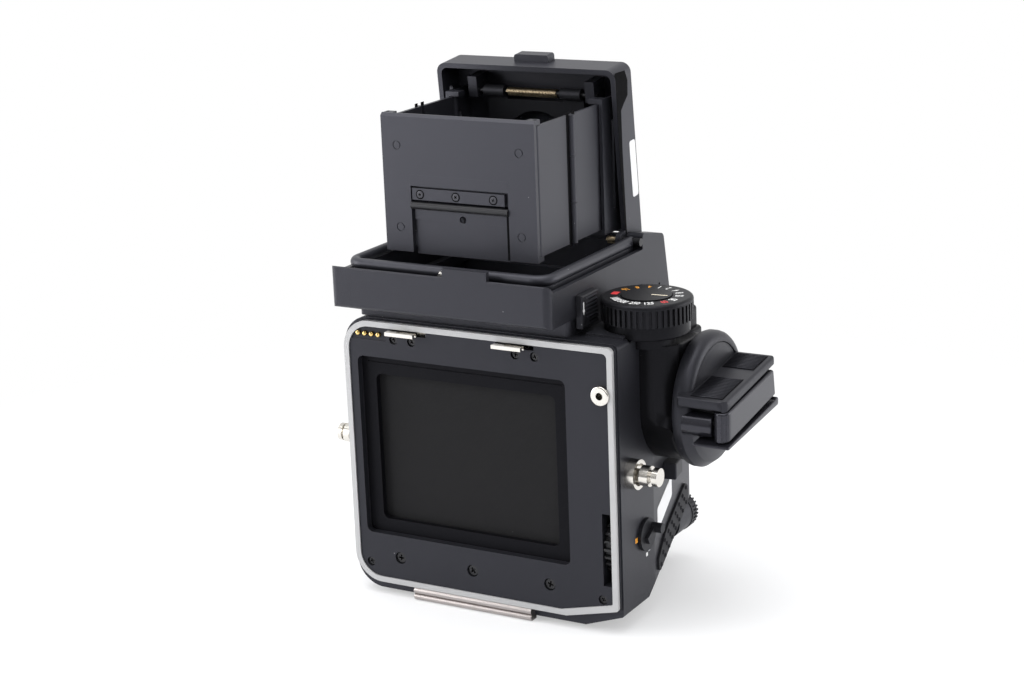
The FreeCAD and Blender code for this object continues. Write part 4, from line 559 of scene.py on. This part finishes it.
def settled(holder, name):
    """The plain mesh of a linked object's curve or modifiers; the object goes."""
    bpy.context.view_layer.update()
    mesh = bpy.data.meshes.new_from_object(holder.evaluated_get(bpy.context.evaluated_depsgraph_get()))
    mesh.name = name
    bpy.data.objects.remove(holder)
    return mesh


def linked(name, data):
    holder = bpy.data.objects.new(name + "Holder", data)
    bpy.context.scene.collection.objects.link(holder)
    return holder


def circle(radius, steps):
    """Points (x, y) in metres on a circle in mm."""
    return [(radius * mm * math.cos(2 * math.pi * i / steps), radius * mm * math.sin(2 * math.pi * i / steps))
            for i in range(steps)]


def spreadPieces(name, shape, places, look, body, seed=1, vary=0.0):
    """places holds (point in metres, turn as Euler angles, size) for each copy of the shape."""
    mesh = bpy.data.meshes.new(name + "Points")
    mesh.from_pydata([tuple(p) for p, turn, grow in places], [], [])
    mesh.attributes.new("turn", "FLOAT_VECTOR", "POINT")
    mesh.attributes.new("grow", "FLOAT", "POINT")
    turns, grows = mesh.attributes["turn"], mesh.attributes["grow"]
    for i, (p, turn, grow) in enumerate(places):
        turns.data[i].vector = tuple(turn)
        grows.data[i].value = grow
    holder, source = linked(name, mesh), linked(name + "Shape", shape)
    modifier = holder.modifiers.new("spread", "NODES")
    modifier.node_group = spreadGroup
    values = {"Shape": source, "Scale Spread": vary, "Seed": seed, "Material": looks[look]}
    for item in spreadGroup.interface.items_tree:
        if item.in_out == "INPUT" and item.name in values:
            modifier[item.identifier] = values[item.name]
    made = settled(holder, name)
    bpy.data.objects.remove(source)
    return addMesh(name, made, look, body)


def spun(profile, steps, smooth=True):
    """A mesh turned about Z from (radius, height) pairs in millimetres; radius 0 closes an end."""
    bm = bmesh.new()
    rings = [[bm.verts.new((x, y, height * mm)) for x, y in (circle(radius, steps) if radius else [(0, 0)])]
             for radius, height in profile]
    for low, high in zip(rings, rings[1:]):
        for i in range(steps):
            j = (i + 1) % steps
            corners = [low[i % len(low)], low[j % len(low)], high[j % len(high)], high[i % len(high)]]
            unique = list(dict.fromkeys(corners))
            if len(unique) > 2:
                bm.faces.new(unique).smooth = smooth
    return toMesh(bm, "spun")


def bridged(bm, low, high):
    """Faces on two rings of as many vertices, and between them."""
    bm.faces.new(low)
    bm.faces.new(list(reversed(high)))
    for i in range(len(low)):
        j = (i + 1) % len(low)
        bm.faces.new((low[j], low[i], high[i], high[j]))


nearness = 0.1    # mm by which an edge may miss the plane that its rounding is meant for
upright = 1.0     # mm of height from which an edge counts as upright
smoothAngle = 32.0


# Rounded solids: an outline in a plane pushed along an axis, with its edges rounded off
def roundedBlock(name, outline, low, high, roundings, segments=4):
    """outline holds (y, z) corners in mm, low and high the x of its two ends.

    roundings holds (radius, test) pairs, and each edge whose two ends pass the test takes that radius.
    """
    bm = bmesh.new()
    bridged(bm, *([bm.verts.new(point(x, y, z)) for y, z in outline] for x in (low, high)))
    bmesh.ops.recalc_face_normals(bm, faces=bm.faces)
    for radius, test in roundings:
        chosen = [e for e in bm.edges if test(e.verts[0].co / mm, e.verts[1].co / mm)]
        if chosen:
            bmesh.ops.bevel(bm, geom=chosen, offset=radius * mm, segments=segments, profile=0.5,
                            affect="EDGES", clamp_overlap=False)
    return shaded(toMesh(bm, name, outward=False))


def everyEdge(a, b):
    return True


def boxBlock(name, values):
    """Block between two values each of x, y and z in mm, its edges rounded off where an edge is given."""
    (x0, x1), (y0, y1), (z0, z1) = values["x"], values["y"], values["z"]
    roundings = ((values["edge"], everyEdge),) if "edge" in values else ()
    return roundedBlock(name, ((y1, z0), (y1, z1), (y0, z1), (y0, z0)), x0, x1, roundings, 2)


def onOuterFace(outer):
    """Test for the edges of the end face towards the crank side, at x outer."""
    return lambda a, b: max(a.x, b.x) < outer + nearness


def shaded(mesh):
    """Smooth over the roundings, with the flat faces left flat by weighted normals."""
    for polygon in mesh.polygons:
        polygon.use_smooth = True
    mesh.set_sharp_from_angle(angle=math.radians(smoothAngle))
    holder = linked(mesh.name, mesh)
    weighted = holder.modifiers.new("weighted", "WEIGHTED_NORMAL")
    weighted.keep_sharp = True
    return settled(holder, mesh.name)


def joined(name, meshes):
    bm = bmesh.new()
    for mesh in meshes:
        bm.from_mesh(mesh)
    return toMesh(bm, name, outward=False)


def alongX(mesh, x, y, z):
    """Turns a mesh spun about Z so that its height runs out through the crank side, from a place in mm."""
    mesh.transform(Matrix.Translation(point(x, y, z)) @ Matrix.Rotation(math.radians(-90), 4, "Y"))
    return mesh


# Crank: a thick round-edged disc, a slab with ribbed pads, and the handle in the channel under the slab
crankLook = {
    "axis": (-6.0, 64.0),
    "disc": ((0.0, 61.2), (18.6, 61.0), (19.6, 61.5), (20.0, 62.6), (20.0, 64.2), (19.75, 65.3), (19.1, 66.2),
             (18.2, 66.75), (17.4, 66.9), (16.9, 66.75), (16.7, 66.45), (16.2, 66.35), (13.0, 66.75),
             (8.0, 67.15), (0.0, 67.3)),
    "lower": ((0.0, 68.4), (8.0, 68.3), (15.0, 67.6), (18.2, 66.6), (20.0, 64.2)), "smoothBelow": 59.0,
    "steps": 96,
    "slab": {"x": (-63.8, -79.0), "outline": ((15.4, 67.35), (15.4, 70.45), (-19.6, 74.75), (-19.6, 72.0)),
             "round": 1.1, "corner": 2.2},
    "pads": {"x": (-67.6, -77.0), "near": (13.6, -1.0), "far": (-8.0, -18.6), "pitch": 0.95, "wide": 0.5,
             "high": 0.34, "base": 0.07, "sunk": 0.3, "margin": 0.25},
    "arm": {"x": (-74.7, -79.5), "outline": ((15.7, 58.2), (15.7, 67.1), (-17.6, 71.3), (-18.9, 63.3)),
            "end": 2.3, "edge": 0.7},
    "shelf": {"x": (-69.2, -80.3), "outline": ((16.6, 57.0), (16.6, 57.9), (-17.2, 62.2), (-18.4, 62.9),
                                               (-19.1, 62.2), (-18.9, 60.4)), "edge": 0.35},
    "barrel": {"radius": 3.6, "axis": (11.5, 62.1), "x": (64.9, 74.2), "edge": 0.7, "steps": 48},
}


def heightAt(profile, radius):
    """Height at a radius between (radius, height) pairs whose radii rise."""
    for (r0, h0), (r1, h1) in zip(profile, profile[1:]):
        if radius <= r1:
            return h0 + (h1 - h0) * (radius - r0) / (r1 - r0)
    return profile[-1][1]


def makeCrank(values):
    axisY, axisZ = values["axis"]
    disc = alongX(spun(values["disc"], values["steps"]), 0, axisY, axisZ)
    for v in disc.vertices:
        away = math.hypot(v.co.y / mm - axisY, v.co.z / mm - axisZ)
        if v.co.z / mm < values["smoothBelow"] and v.co.x / mm < -values["lower"][-1][1]:
            v.co.x = -heightAt(values["lower"], away) * mm
    piece = addMesh("crankDisc", shaded(disc), "crankPlastic", "crank")
    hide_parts("crank_hub")

    slab = values["slab"]
    inner, outer = slab["x"]
    rear = slab["outline"][0][0]
    mesh = roundedBlock("crankSlab", slab["outline"], inner, outer, (
        (slab["corner"], lambda a, b: onOuterFace(outer)(a, b) and min(a.y, b.y) > rear - nearness
            and abs(a.z - b.z) > upright),
        (slab["round"], lambda a, b: onOuterFace(outer)(a, b) or min(a.y, b.y) > rear - nearness)))
    pads = values["pads"]
    (rearY, rearZ), (frontY, frontZ) = slab["outline"][1], slab["outline"][2]
    slope = (frontZ - rearZ) / (frontY - rearY)
    first, last = pads["x"]
    places, bases = [], []
    for start, stop in (pads["near"], pads["far"]):
        corners = [(y, rearZ + slope * (y - rearY) + lift)
                   for y, lift in ((start, -pads["sunk"]), (start, pads["base"]), (stop, pads["base"]),
                                   (stop, -pads["sunk"]))]
        bases.append(roundedBlock("crankPadBase", corners, first + pads["margin"], last - pads["margin"], ()))
        for i in range(int((start - stop) / pads["pitch"])):
            y = start - (i + 0.5) * pads["pitch"]
            spot = point((first + last) / 2, y, rearZ + slope * (y - rearY) + pads["base"])
            places.append((spot, (math.atan(slope), 0, 0), 1.0))
    piece = addMesh("crankSlab", mesh, "crankPlastic", "crank")
    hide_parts("crank_slab")
    piece = spreadPieces("crankPadRibs", ribMesh(pads), places, "crankPlastic", "crank", seed=5)
    # The pads' bases take the shade black: the pads' own dark, and painted shade between their ribs
    piece = addMesh("crankPadBases", joined("crankPadBases", bases), "shadeBlack", "crank")

    arm = values["arm"]
    inner, outer = arm["x"]
    rear = arm["outline"][0][0]
    mesh = roundedBlock("crankArm", arm["outline"], inner, outer, (
        (arm["end"], lambda a, b: min(a.y, b.y) > rear - nearness and abs(a.z - b.z) > upright),
        (arm["edge"], everyEdge)))
    shelf = values["shelf"]
    lip = roundedBlock("crankShelf", shelf["outline"], *shelf["x"], ((shelf["edge"], everyEdge),), 2)
    piece = addMesh("crankArm", joined("crankArm", (mesh, lip)), "handleGloss", "crank_handle")
    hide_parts("crank_arm")

    barrel = values["barrel"]
    (near, far), radius, edge = barrel["x"], barrel["radius"], barrel["edge"]
    profile = [(0, near), (radius, near)]
    profile += [(radius - edge + edge * math.cos(a), far - edge + edge * math.sin(a))
                for a in (math.radians(22.5 * i) for i in range(5))]
    profile.append((0, far))
    mesh = alongX(spun(profile, barrel["steps"]), 0, *barrel["axis"])
    piece = addMesh("crankBarrel", shaded(mesh), "handleGloss", "crank_handle")
    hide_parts("crank_barrel")


def ribMesh(values):
    """One rib of a pad along X, with a rounded back."""
    half, wide, high = abs(values["x"][1] - values["x"][0]) / 2, values["wide"] / 2, values["high"]
    arc = [(wide * math.cos(math.radians(a)), high * math.sin(math.radians(a))) for a in range(0, 181, 30)]
    bm = bmesh.new()
    ends = [[bm.verts.new((x * mm, y * mm, z * mm)) for y, z in arc] for x in (-half, half)]
    for i in range(len(arc) - 1):
        bm.faces.new((ends[0][i], ends[0][i + 1], ends[1][i + 1], ends[1][i])).smooth = True
    bm.faces.new(ends[0])
    bm.faces.new(list(reversed(ends[1])))
    return toMesh(bm, "padRib")


makeCrank(crankLook)
print("crank made")


# Housing behind the disc: an arch in front, a square shoulder under the dial, and the dial's neck above a gap
housingLook = {
    "centre": (-6.0, 64.0), "radius": 18.6, "arch": (84, 361, 6), "rear": 12.4, "top": 83.2,
    "x": (-44.0, -61.0), "corner": 8.2, "edge": 1.2, "segments": 5, "steps": 80,
    "stem": ((0, 82.8), (8.0, 82.8), (8.0, 86.6), (0, 86.6)),
    "neck": ((0, 86.1), (11.8, 86.1), (12.3, 86.6), (12.3, 90.0), (0, 90.0)),
    "lump": {"x": (-46.0, -54.8), "y": (-12.0, -20.0), "z": (74.0, 88.0), "round": 2.4, "brow": 0.9},
    "lump2": {"x": (-46.0, -56.3), "y": (-11.0, -20.0), "z": (72.0, 82.0), "round": 2.4, "brow": 0.9},
}


def makeHousing(values):
    axisY, axisZ = values["centre"]
    radius, rear = values["radius"], values["rear"]
    outline = [(rear, values["top"])]
    outline += [(axisY + radius * math.cos(math.radians(a)), axisZ + radius * math.sin(math.radians(a)))
                for a in range(*values["arch"])]
    inner, outer = values["x"]
    parts = [roundedBlock("crankHousing", outline, inner, outer, (
        (values["corner"], lambda a, b: onOuterFace(outer)(a, b) and min(a.y, b.y) > rear - 3 * nearness
            and abs(a.z - b.z) > upright),
        (values["edge"], onOuterFace(outer))), values["segments"])]
    for name in ("stem", "neck"):
        turned = spun(values[name], values["steps"])
        turned.transform(Matrix.Translation((dialCentre.x, dialCentre.y, 0)))
        parts.append(shaded(turned))
    for name in ("lump", "lump2"):
        lump = values[name]
        (y1, y0), (z0, z1) = lump["y"], lump["z"]
        parts.append(roundedBlock(name, ((y0, z0), (y1, z0), (y1, z1), (y0, z1)), *lump["x"], (
            (lump["round"], lambda a, b: abs(a.z - b.z) > upright and onOuterFace(lump["x"][1])(a, b)),
            (lump["brow"], lambda a, b: min(a.z, b.z) > z1 - nearness))))
    # its finish is the darker copy of the black, partly painted shade
    piece = addMesh("crankHousing", joined("crankHousing", parts), "housingBlack", "body")
    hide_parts("crank_housing")


makeHousing(housingLook)
print("housing made")


# Cross-recessed screws: domed heads, set on the places of the CAD screws
screwLook = {"reach": 1.0, "edge": 0.16, "dome": 0.02, "skirt": 0.7, "recess": 0.52, "slot": 0.15,
             "deep": 0.42, "taper": 0.8, "steps": 40}


def crossScrewMesh(values):
    """Head of radius 1 mm with its face towards +Z at z 0, its cross cut as real walls."""
    bm = bmesh.new()
    arm, half, taper, steps = values["recess"], values["slot"], values["taper"], values["steps"]
    outer, edge = values["reach"], values["edge"]
    cross = [(half, half), (half, arm), (-half, arm), (-half, half), (-arm, half), (-arm, -half),
             (-half, -half), (-half, -arm), (half, -arm), (half, -half), (arm, -half), (arm, half)]
    top = [bm.verts.new((x * mm, y * mm, 0)) for x, y in cross]
    foot = [bm.verts.new((x * taper * mm, y * taper * mm, -values["deep"] * mm)) for x, y in cross]
    ring, rim, skirt = ([bm.verts.new((x, y, -depth * mm)) for x, y in circle(radius, steps)]
                        for radius, depth in ((outer - edge, values["dome"]), (outer, edge),
                                              (outer, values["skirt"])))
    for a, b in ((ring, rim), (rim, skirt)):
        for i in range(steps):
            j = (i + 1) % steps
            bm.faces.new((a[i], a[j], b[j], b[i])).smooth = True
    for i in range(len(cross)):
        bm.faces.new((top[i - 1], top[i], foot[i], foot[i - 1]))
    bm.faces.new(foot)
    edges = [bm.edges.get((loop[i - 1], loop[i])) for loop in (top, ring) for i in range(len(loop))]
    bmesh.ops.triangle_fill(bm, edges=edges, use_beauty=True)
    bm.faces.new(list(reversed(skirt)))
    return toMesh(bm, "crossScrew")


plateScrews = {"face": 27.1, "fit": 0.985, "turn": 37,
               "gate": {"radius": 1.9, "z": 12.5, "xs": (23.5, -1.8, -27.9)},
               "corner": {"radius": 1.45, "at": ((34.2, 9.8), (-45.3, 10.6))},
               "latch": {"radius": 1.4, "at": ((22.0, 81.2), (15.8, 81.2), (-19.1, 81.2), (-25.4, 81.2))}}


def makePlateScrews(values):
    spots = [(x, values["gate"]["z"], values["gate"]["radius"]) for x in values["gate"]["xs"]]
    for group in ("corner", "latch"):
        spots += [(x, z, values[group]["radius"]) for x, z in values[group]["at"]]
    places = []
    for i, (x, z, radius) in enumerate(spots):
        turn = math.radians(values["turn"] * i % 90)
        places.append((point(x, values["face"], z), (math.radians(-90), turn, 0), radius * values["fit"]))
    piece = spreadPieces("plateScrewHeads", crossScrewMesh(screwLook), places, "blackSteel", "body", seed=3)
    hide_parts("plate_screws")


makePlateScrews(plateScrews)
print("screws made")


# Printed figures and marks on the dial, and a black ring of painted shade in the groove round its cap
def textMesh(name, text, size, thick, narrow, bold):
    curve = bpy.data.curves.new(name, "FONT")
    curve.body = text
    curve.size = size * mm
    curve.align_x, curve.align_y = "CENTER", "CENTER"
    curve.extrude = thick * mm / 2
    curve.offset = bold * mm
    curve.resolution_u = 3
    mesh = settled(linked(name, curve), name)
    mesh.transform(Matrix.Diagonal((narrow, 1, 1, 1)))
    return mesh


def plateMesh(name, corners, push, radius=0.0, steps=5):
    """Thin plate: corners in mm on a flat face, and its thickness as the vector push in mm."""
    spots = [Vector(c) for c in corners]
    outline = []
    for i, here in enumerate(spots):
        back, on = spots[i - 1] - here, spots[(i + 1) % len(spots)] - here
        if radius == 0:
            outline.append(here)
            continue
        start, end = here + back.normalized() * radius, here + on.normalized() * radius
        for k in range(steps):
            t = k / (steps - 1)
            outline.append(start * (1 - t) ** 2 + here * 2 * t * (1 - t) + end * t ** 2)
    bm = bmesh.new()
    bridged(bm, *([bm.verts.new((p + side) * mm) for p in outline] for side in (Vector(), Vector(push))))
    return toMesh(bm, name)


dialMarks = {"radius": 9.5, "size": 3.3, "thick": 0.03, "narrow": 0.62, "bold": 0.07,
             "figures": (("1000", "whiteInk", 48), ("500", "whiteInk", 71), ("250", "whiteInk", 95),
                         ("125", "whiteInk", 119), ("60", "redInk", 147), ("30", "whiteInk", 168),
                         ("15", "whiteInk", 195), ("8", "whiteInk", 216), ("4", "whiteInk", 234),
                         ("2", "whiteInk", 255), ("1", "whiteInk", 273),
                         ("4", "orangeInk", 291), ("8", "orangeInk", 313), ("16", "orangeInk", 336)),
             "block": {"angle": 7.0, "wide": 3.0, "high": 2.0, "round": 0.3},
             "groove": {"inner": 7.15, "outer": 7.5, "lift": 0.02, "steps": 64},
             "index": {"from": (-52.25, 6.18), "to": (-57.0, 5.77), "half": 0.32, "lift": 0.03}}


def onDial(mesh, radius, angle, lift, turn):
    """Sets a flat mesh on the dial's top at an angle round it in degrees, turned by turn more."""
    a = math.radians(angle)
    spot = Vector((dialCentre.x + radius * mm * math.cos(a), dialCentre.y + radius * mm * math.sin(a),
                   dialHigh.z + lift * mm))
    mesh.transform(Matrix.Translation(spot) @ Matrix.Rotation(a + math.radians(turn), 4, "Z"))
    return mesh


def makeDialMarks(values):
    by = {}
    for text, ink, angle in values["figures"]:
        mesh = textMesh("figure", text, values["size"], values["thick"], values["narrow"], values["bold"])
        by.setdefault(ink, []).append(onDial(mesh, values["radius"], angle, values["thick"] / 2, 90))
    block = values["block"]
    high, wide = block["high"] / 2, block["wide"] / 2
    mesh = plateMesh("block", ((-high, -wide, 0), (high, -wide, 0), (high, wide, 0), (-high, wide, 0)),
                     (0, 0, values["thick"]), block["round"])
    by["redInk"].append(onDial(mesh, values["radius"], block["angle"], 0, 0))
    index = values["index"]
    start, end = Vector((*index["from"], capHigh.z / mm)), Vector((*index["to"], capHigh.z / mm))
    across = (end - start).cross(Vector((0, 0, 1))).normalized() * index["half"]
    by["creamInk"] = [plateMesh("index", (start + across, end + across, end - across, start - across),
                                (0, 0, index["lift"]))]
    # A thin flat black ring on the dial's top: painted shade for the groove round the cap
    groove = values["groove"]
    ring = spun(((groove["inner"], 0), (groove["inner"], groove["lift"]), (groove["outer"], groove["lift"]),
                 (groove["outer"], 0)), groove["steps"], smooth=False)
    ring.transform(Matrix.Translation((dialCentre.x, dialCentre.y, dialHigh.z)))
    by["shadeBlack"] = [ring]
    for ink, meshes in by.items():
        addMesh("dialMarks." + ink, joined("dialMarks", meshes), ink, "dial")


makeDialMarks(dialMarks)
print("dial marks made")


# Blank paper labels, the marks beside the small lever and on the finder's slide, and a black disc of painted
# shade for a hole in the finder's side
crankSide = {"x": -51.0, "leansFrom": 5.0, "long": 41.0, "in": 6.8}
shadeThick = 0.03    # mm of the black plates that stand for dark gaps


def sidePlate(name, x, outline, thick, look, body, radius=0.0):
    """Thin plate on a face across X, from its (y, z) corners in mm; the sign of thick says where it grows."""
    corners = [(x(y) if callable(x) else x, y, z) for y, z in outline]
    return addMesh(name, plateMesh(name, corners, (thick, 0, 0), radius), look, body)


def leaningX(y):
    """x of the leaning part of the crank side at a distance along the body."""
    return crankSide["x"] + crankSide["in"] * (crankSide["leansFrom"] - y) / crankSide["long"]


labelLook = {
    "grip": {"corners": ((-13.2, 36.0), (-13.2, 29.6), (1.8, 23.4), (1.8, 30.6)), "round": 0.9},
    "lid": {"x": -30.3, "corners": ((-25.3, 133.9), (-27.1, 116.7), (-30.7, 117.1), (-28.9, 134.2)),
            "round": 1.0},
    "thick": 0.09,
    "squares": (("orangeInk", 16.7, 25.9, 0.75), ("whiteInk", 8.7, 20.6, 0.55),
                ("whiteInk", 10.2, 19.4, 0.55)),
    "ink": 0.04,
    "arrow": {"x": -38.35, "thick": 0.05,
              "outline": ((21.45, 96.9), (20.95, 96.9), (20.95, 94.7), (20.55, 94.7), (21.2, 93.2),
                          (21.85, 94.7), (21.45, 94.7))},
    "hole": {"x": -36.2, "y": -31.75, "z": 89.6, "radius": 0.45, "steps": 12},
}


def makeLabels(values):
    thick, ink, grip, lid = (values[name] for name in ("thick", "ink", "grip", "lid"))
    sidePlate("gripLabel", leaningX, grip["corners"], -thick, "labelPaper", "body", grip["round"])
    sidePlate("lidLabel", lid["x"], lid["corners"], -thick, "labelPaper", "lid", lid["round"])
    for i, (look, y, z, half) in enumerate(values["squares"]):
        outline = [(y + half * a, z + half * b) for a, b in ((-1, 1), (-1, -1), (1, -1), (1, 1))]
        sidePlate("leverMark%d" % (i + 1), crankSide["x"], outline, -ink, look, "body")
    arrow, hole = values["arrow"], values["hole"]
    sidePlate("slideArrow", arrow["x"], arrow["outline"], -arrow["thick"], "whiteInk", "finder_slider")
    # The hole is a flat black disc of painted shade, not a cut
    outline = [(hole["y"] + a / mm, hole["z"] + b / mm) for a, b in circle(hole["radius"], hole["steps"])]
    sidePlate("finderSideHole", hole["x"], outline, -shadeThick, "shadeBlack", "body")


makeLabels(labelLook)
print("labels made")


# Finder side: the foot and the cover of its wall beside the dial, its front sill, and the ribs of its slide
finderLook = {
    "foot": {"x": (-33.5, -36.19), "y": (-31.2, -20.0), "z": (86.9, 92.5)},
    "cover": {"x": (-35.9, -36.19), "y": (-2.0, 14.4), "z": (92.4, 98.6)},
    "sill": {"x": (30.6, -30.6), "y": (-32.4, -31.3), "z": (101.6, 104.3)},
    "ribs": {"x": -38.35, "y": (13.2, 20.0), "zs": (92.2, 93.3, 94.4, 95.5, 96.6, 97.7), "half": 0.2,
             "proud": 0.16},
}


def makeFinderSide(values):
    parts = [boxBlock(name, values[name]) for name in ("foot", "cover", "sill")]
    piece = addMesh("finderSide", joined("finderSide", parts), "bodyPaint", "body")
    ribs = values["ribs"]
    (y0, y1), half = ribs["y"], ribs["half"]
    rib = plateMesh("slideRib", ((0, y0, -half), (0, y0, half), (0, y1, half), (0, y1, -half)),
                    (-ribs["proud"], 0, 0))
    places = [(point(ribs["x"], 0, z), (0, 0, 0), 1.0) for z in ribs["zs"]]
    spreadPieces("slideRibs", rib, places, "hoodPaint", "finder_slider", seed=2)


makeFinderSide(finderLook)
print("finder side made")


# Rear wall of the hood: the strip in its window with three cross screws, the head of the window, and black
# plates of painted shade in its dark gaps and round the screws
rearWallLook = {
    "strip": {"x": (15.9, -14.9), "y": (21.9, 22.8), "z": (122.8, 126.35), "edge": 0.15},
    "tongue": {"x": (19.2, -19.2), "y": (20.9, 21.6), "z": (122.8, 132.1)},
    "stripJoin": {"x": (14.9, -13.9), "y": (21.5, 22.0), "z": (123.0, 126.15)},
    "windowHead": {"x": (16.5, -16.5), "y": (21.72, 23.02), "z": (126.95, 130.2)},
    "screws": {"xs": (13.2, 1.2, -11.2), "z": 124.5, "face": 22.95, "radius": 1.12, "turns": (20, 45, 70),
               "shade": 1.4, "steps": 32},
    "gap": {"x": (-15.0, -16.25), "z": (107.2, 120.2), "y": 22.13},
    "sideGap": {"x": (16.25, 15.9), "z": (122.8, 126.9), "y": 22.3},
}


def makeRearWall(values):
    parts = [boxBlock(name, values[name]) for name in ("strip", "tongue", "stripJoin")]
    piece = addMesh("hingeStrip", joined("hingeStrip", parts), "hoodPaint", "rear_wall")
    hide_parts("hinge_strip")
    mesh = boxBlock("windowHead", values["windowHead"])
    addMesh("windowHead", mesh, "hoodPaint", "rear_wall")
    screws = values["screws"]
    places = [(point(x, screws["face"], screws["z"]), (math.radians(-90), math.radians(turn), 0),
               screws["radius"]) for x, turn in zip(screws["xs"], screws["turns"])]
    piece = spreadPieces("stripScrewHeads", crossScrewMesh(screwLook), places, "screwPaint", "rear_wall",
                         seed=4)
    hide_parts("strip_screws")
    # Black plates of painted shade in two dark gaps of the wall, and rings of it round the screw heads
    shades = []
    for name in ("gap", "sideGap"):
        gap = values[name]
        (x0, x1), (z0, z1), y = gap["x"], gap["z"], gap["y"]
        shades.append(plateMesh(name, ((x0, y, z0), (x1, y, z0), (x1, y, z1), (x0, y, z1)),
                                (0, shadeThick, 0)))
    reach = screws["shade"]
    for x in screws["xs"]:
        ring = spun(((0, 0), (reach, 0), (reach, shadeThick), (0, shadeThick)), screws["steps"], smooth=False)
        ring.transform(Matrix.Translation(point(x, values["strip"]["y"][1], screws["z"])) @ Matrix.Rotation(
            math.radians(-90), 4, "X"))
        shades.append(ring)
    addMesh("rearWallShades", joined("rearWallShades", shades), "shadeBlack", "rear_wall")


makeRearWall(rearWallLook)
print("rear wall made")


# Lid: a black plate of painted shade on its side, coils on its pins, and the magnifier's tight coil
lidLook = {
    "side": -30.3,
    "notch": ((-17.2, 155.4), (-23.4, 155.4), (-25.1, 152.3), (-25.0, 147.9), (-22.6, 145.9), (-20.6, 144.0),
              (-20.9, 132.2), (-21.65, 120.0), (-22.5, 106.8), (-21.7, 106.8), (-19.2, 128.0)),
    "coil": {"wire": 0.2, "radius": 1.05, "y": -20.0, "z": 105.0, "from": 25.2, "to": 28.6, "turns": 8,
             "steps": 12},
    "magnifier": {"wire": 0.25, "radius": 1.18, "y": -22.5, "z": 147.6, "from": 8.5, "to": -8.4, "turns": 32,
                  "steps": 12},
}


def coilMesh(name, values, side=1):
    """Tight coil along X, its wire followed as a bevelled curve and made a mesh."""
    curve = bpy.data.curves.new(name, "CURVE")
    curve.dimensions = "3D"
    curve.bevel_depth = values["wire"] * mm
    curve.bevel_resolution = 1
    steps = values["turns"] * values["steps"]
    spline = curve.splines.new("POLY")
    spline.points.add(steps)
    for i in range(steps + 1):
        a, share = 2 * math.pi * i / values["steps"], i / steps
        x = side * (values["from"] + (values["to"] - values["from"]) * share)
        spline.points[i].co = (*point(x, values["y"] + values["radius"] * math.cos(a),
                                      values["z"] + values["radius"] * math.sin(a)), 1)
    curve.use_fill_caps = True
    mesh = settled(linked(name, curve), name)
    for polygon in mesh.polygons:
        polygon.use_smooth = True
    return mesh


def makeLid(values):
    # A flat black plate on the lid's side: painted shade over the dark part of that face
    sidePlate("lidSideShade", values["side"], values["notch"], -shadeThick, "shadeBlack", "lid")
    coils = [coilMesh("lidCoil", values["coil"], side) for side in (-1, 1)]
    piece = addMesh("lidCoils", joined("lidCoils", coils), "springBronze", "body")
    piece = addMesh("magnifierCoil", coilMesh("magnifierCoil", values["magnifier"]), "springBronze", "lid")
    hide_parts("magnifier_spring")


makeLid(lidLook)
print("lid made")


# Side leaves: black plates of painted shade for the dark gap each side of the hinge between them
leafLook = {"outer": 25.3, "lift": 0.04, "z": (108.0, 147.2), "front": (-0.9, 0.9), "rear": (2.6, 4.2)}


def makeLeafGaps(values):
    (z0, z1), lift = values["z"], values["lift"]
    for side, word in ((-1, "right"), (1, "left")):
        for part in ("front", "rear"):
            y0, y1 = values[part]
            # each plate is painted shade for the gap beside the hinge
            sidePlate("%sLeafGap.%s" % (word, part), side * values["outer"],
                      ((y0, z0), (y1, z0), (y1, z1), (y0, z1)), side * lift, "shadeBlack",
                      "%s_%s_leaf" % (word, part))


makeLeafGaps(leafLook)
print("leaf gaps made")


bpy.context.scene.view_settings.view_transform = "Standard"
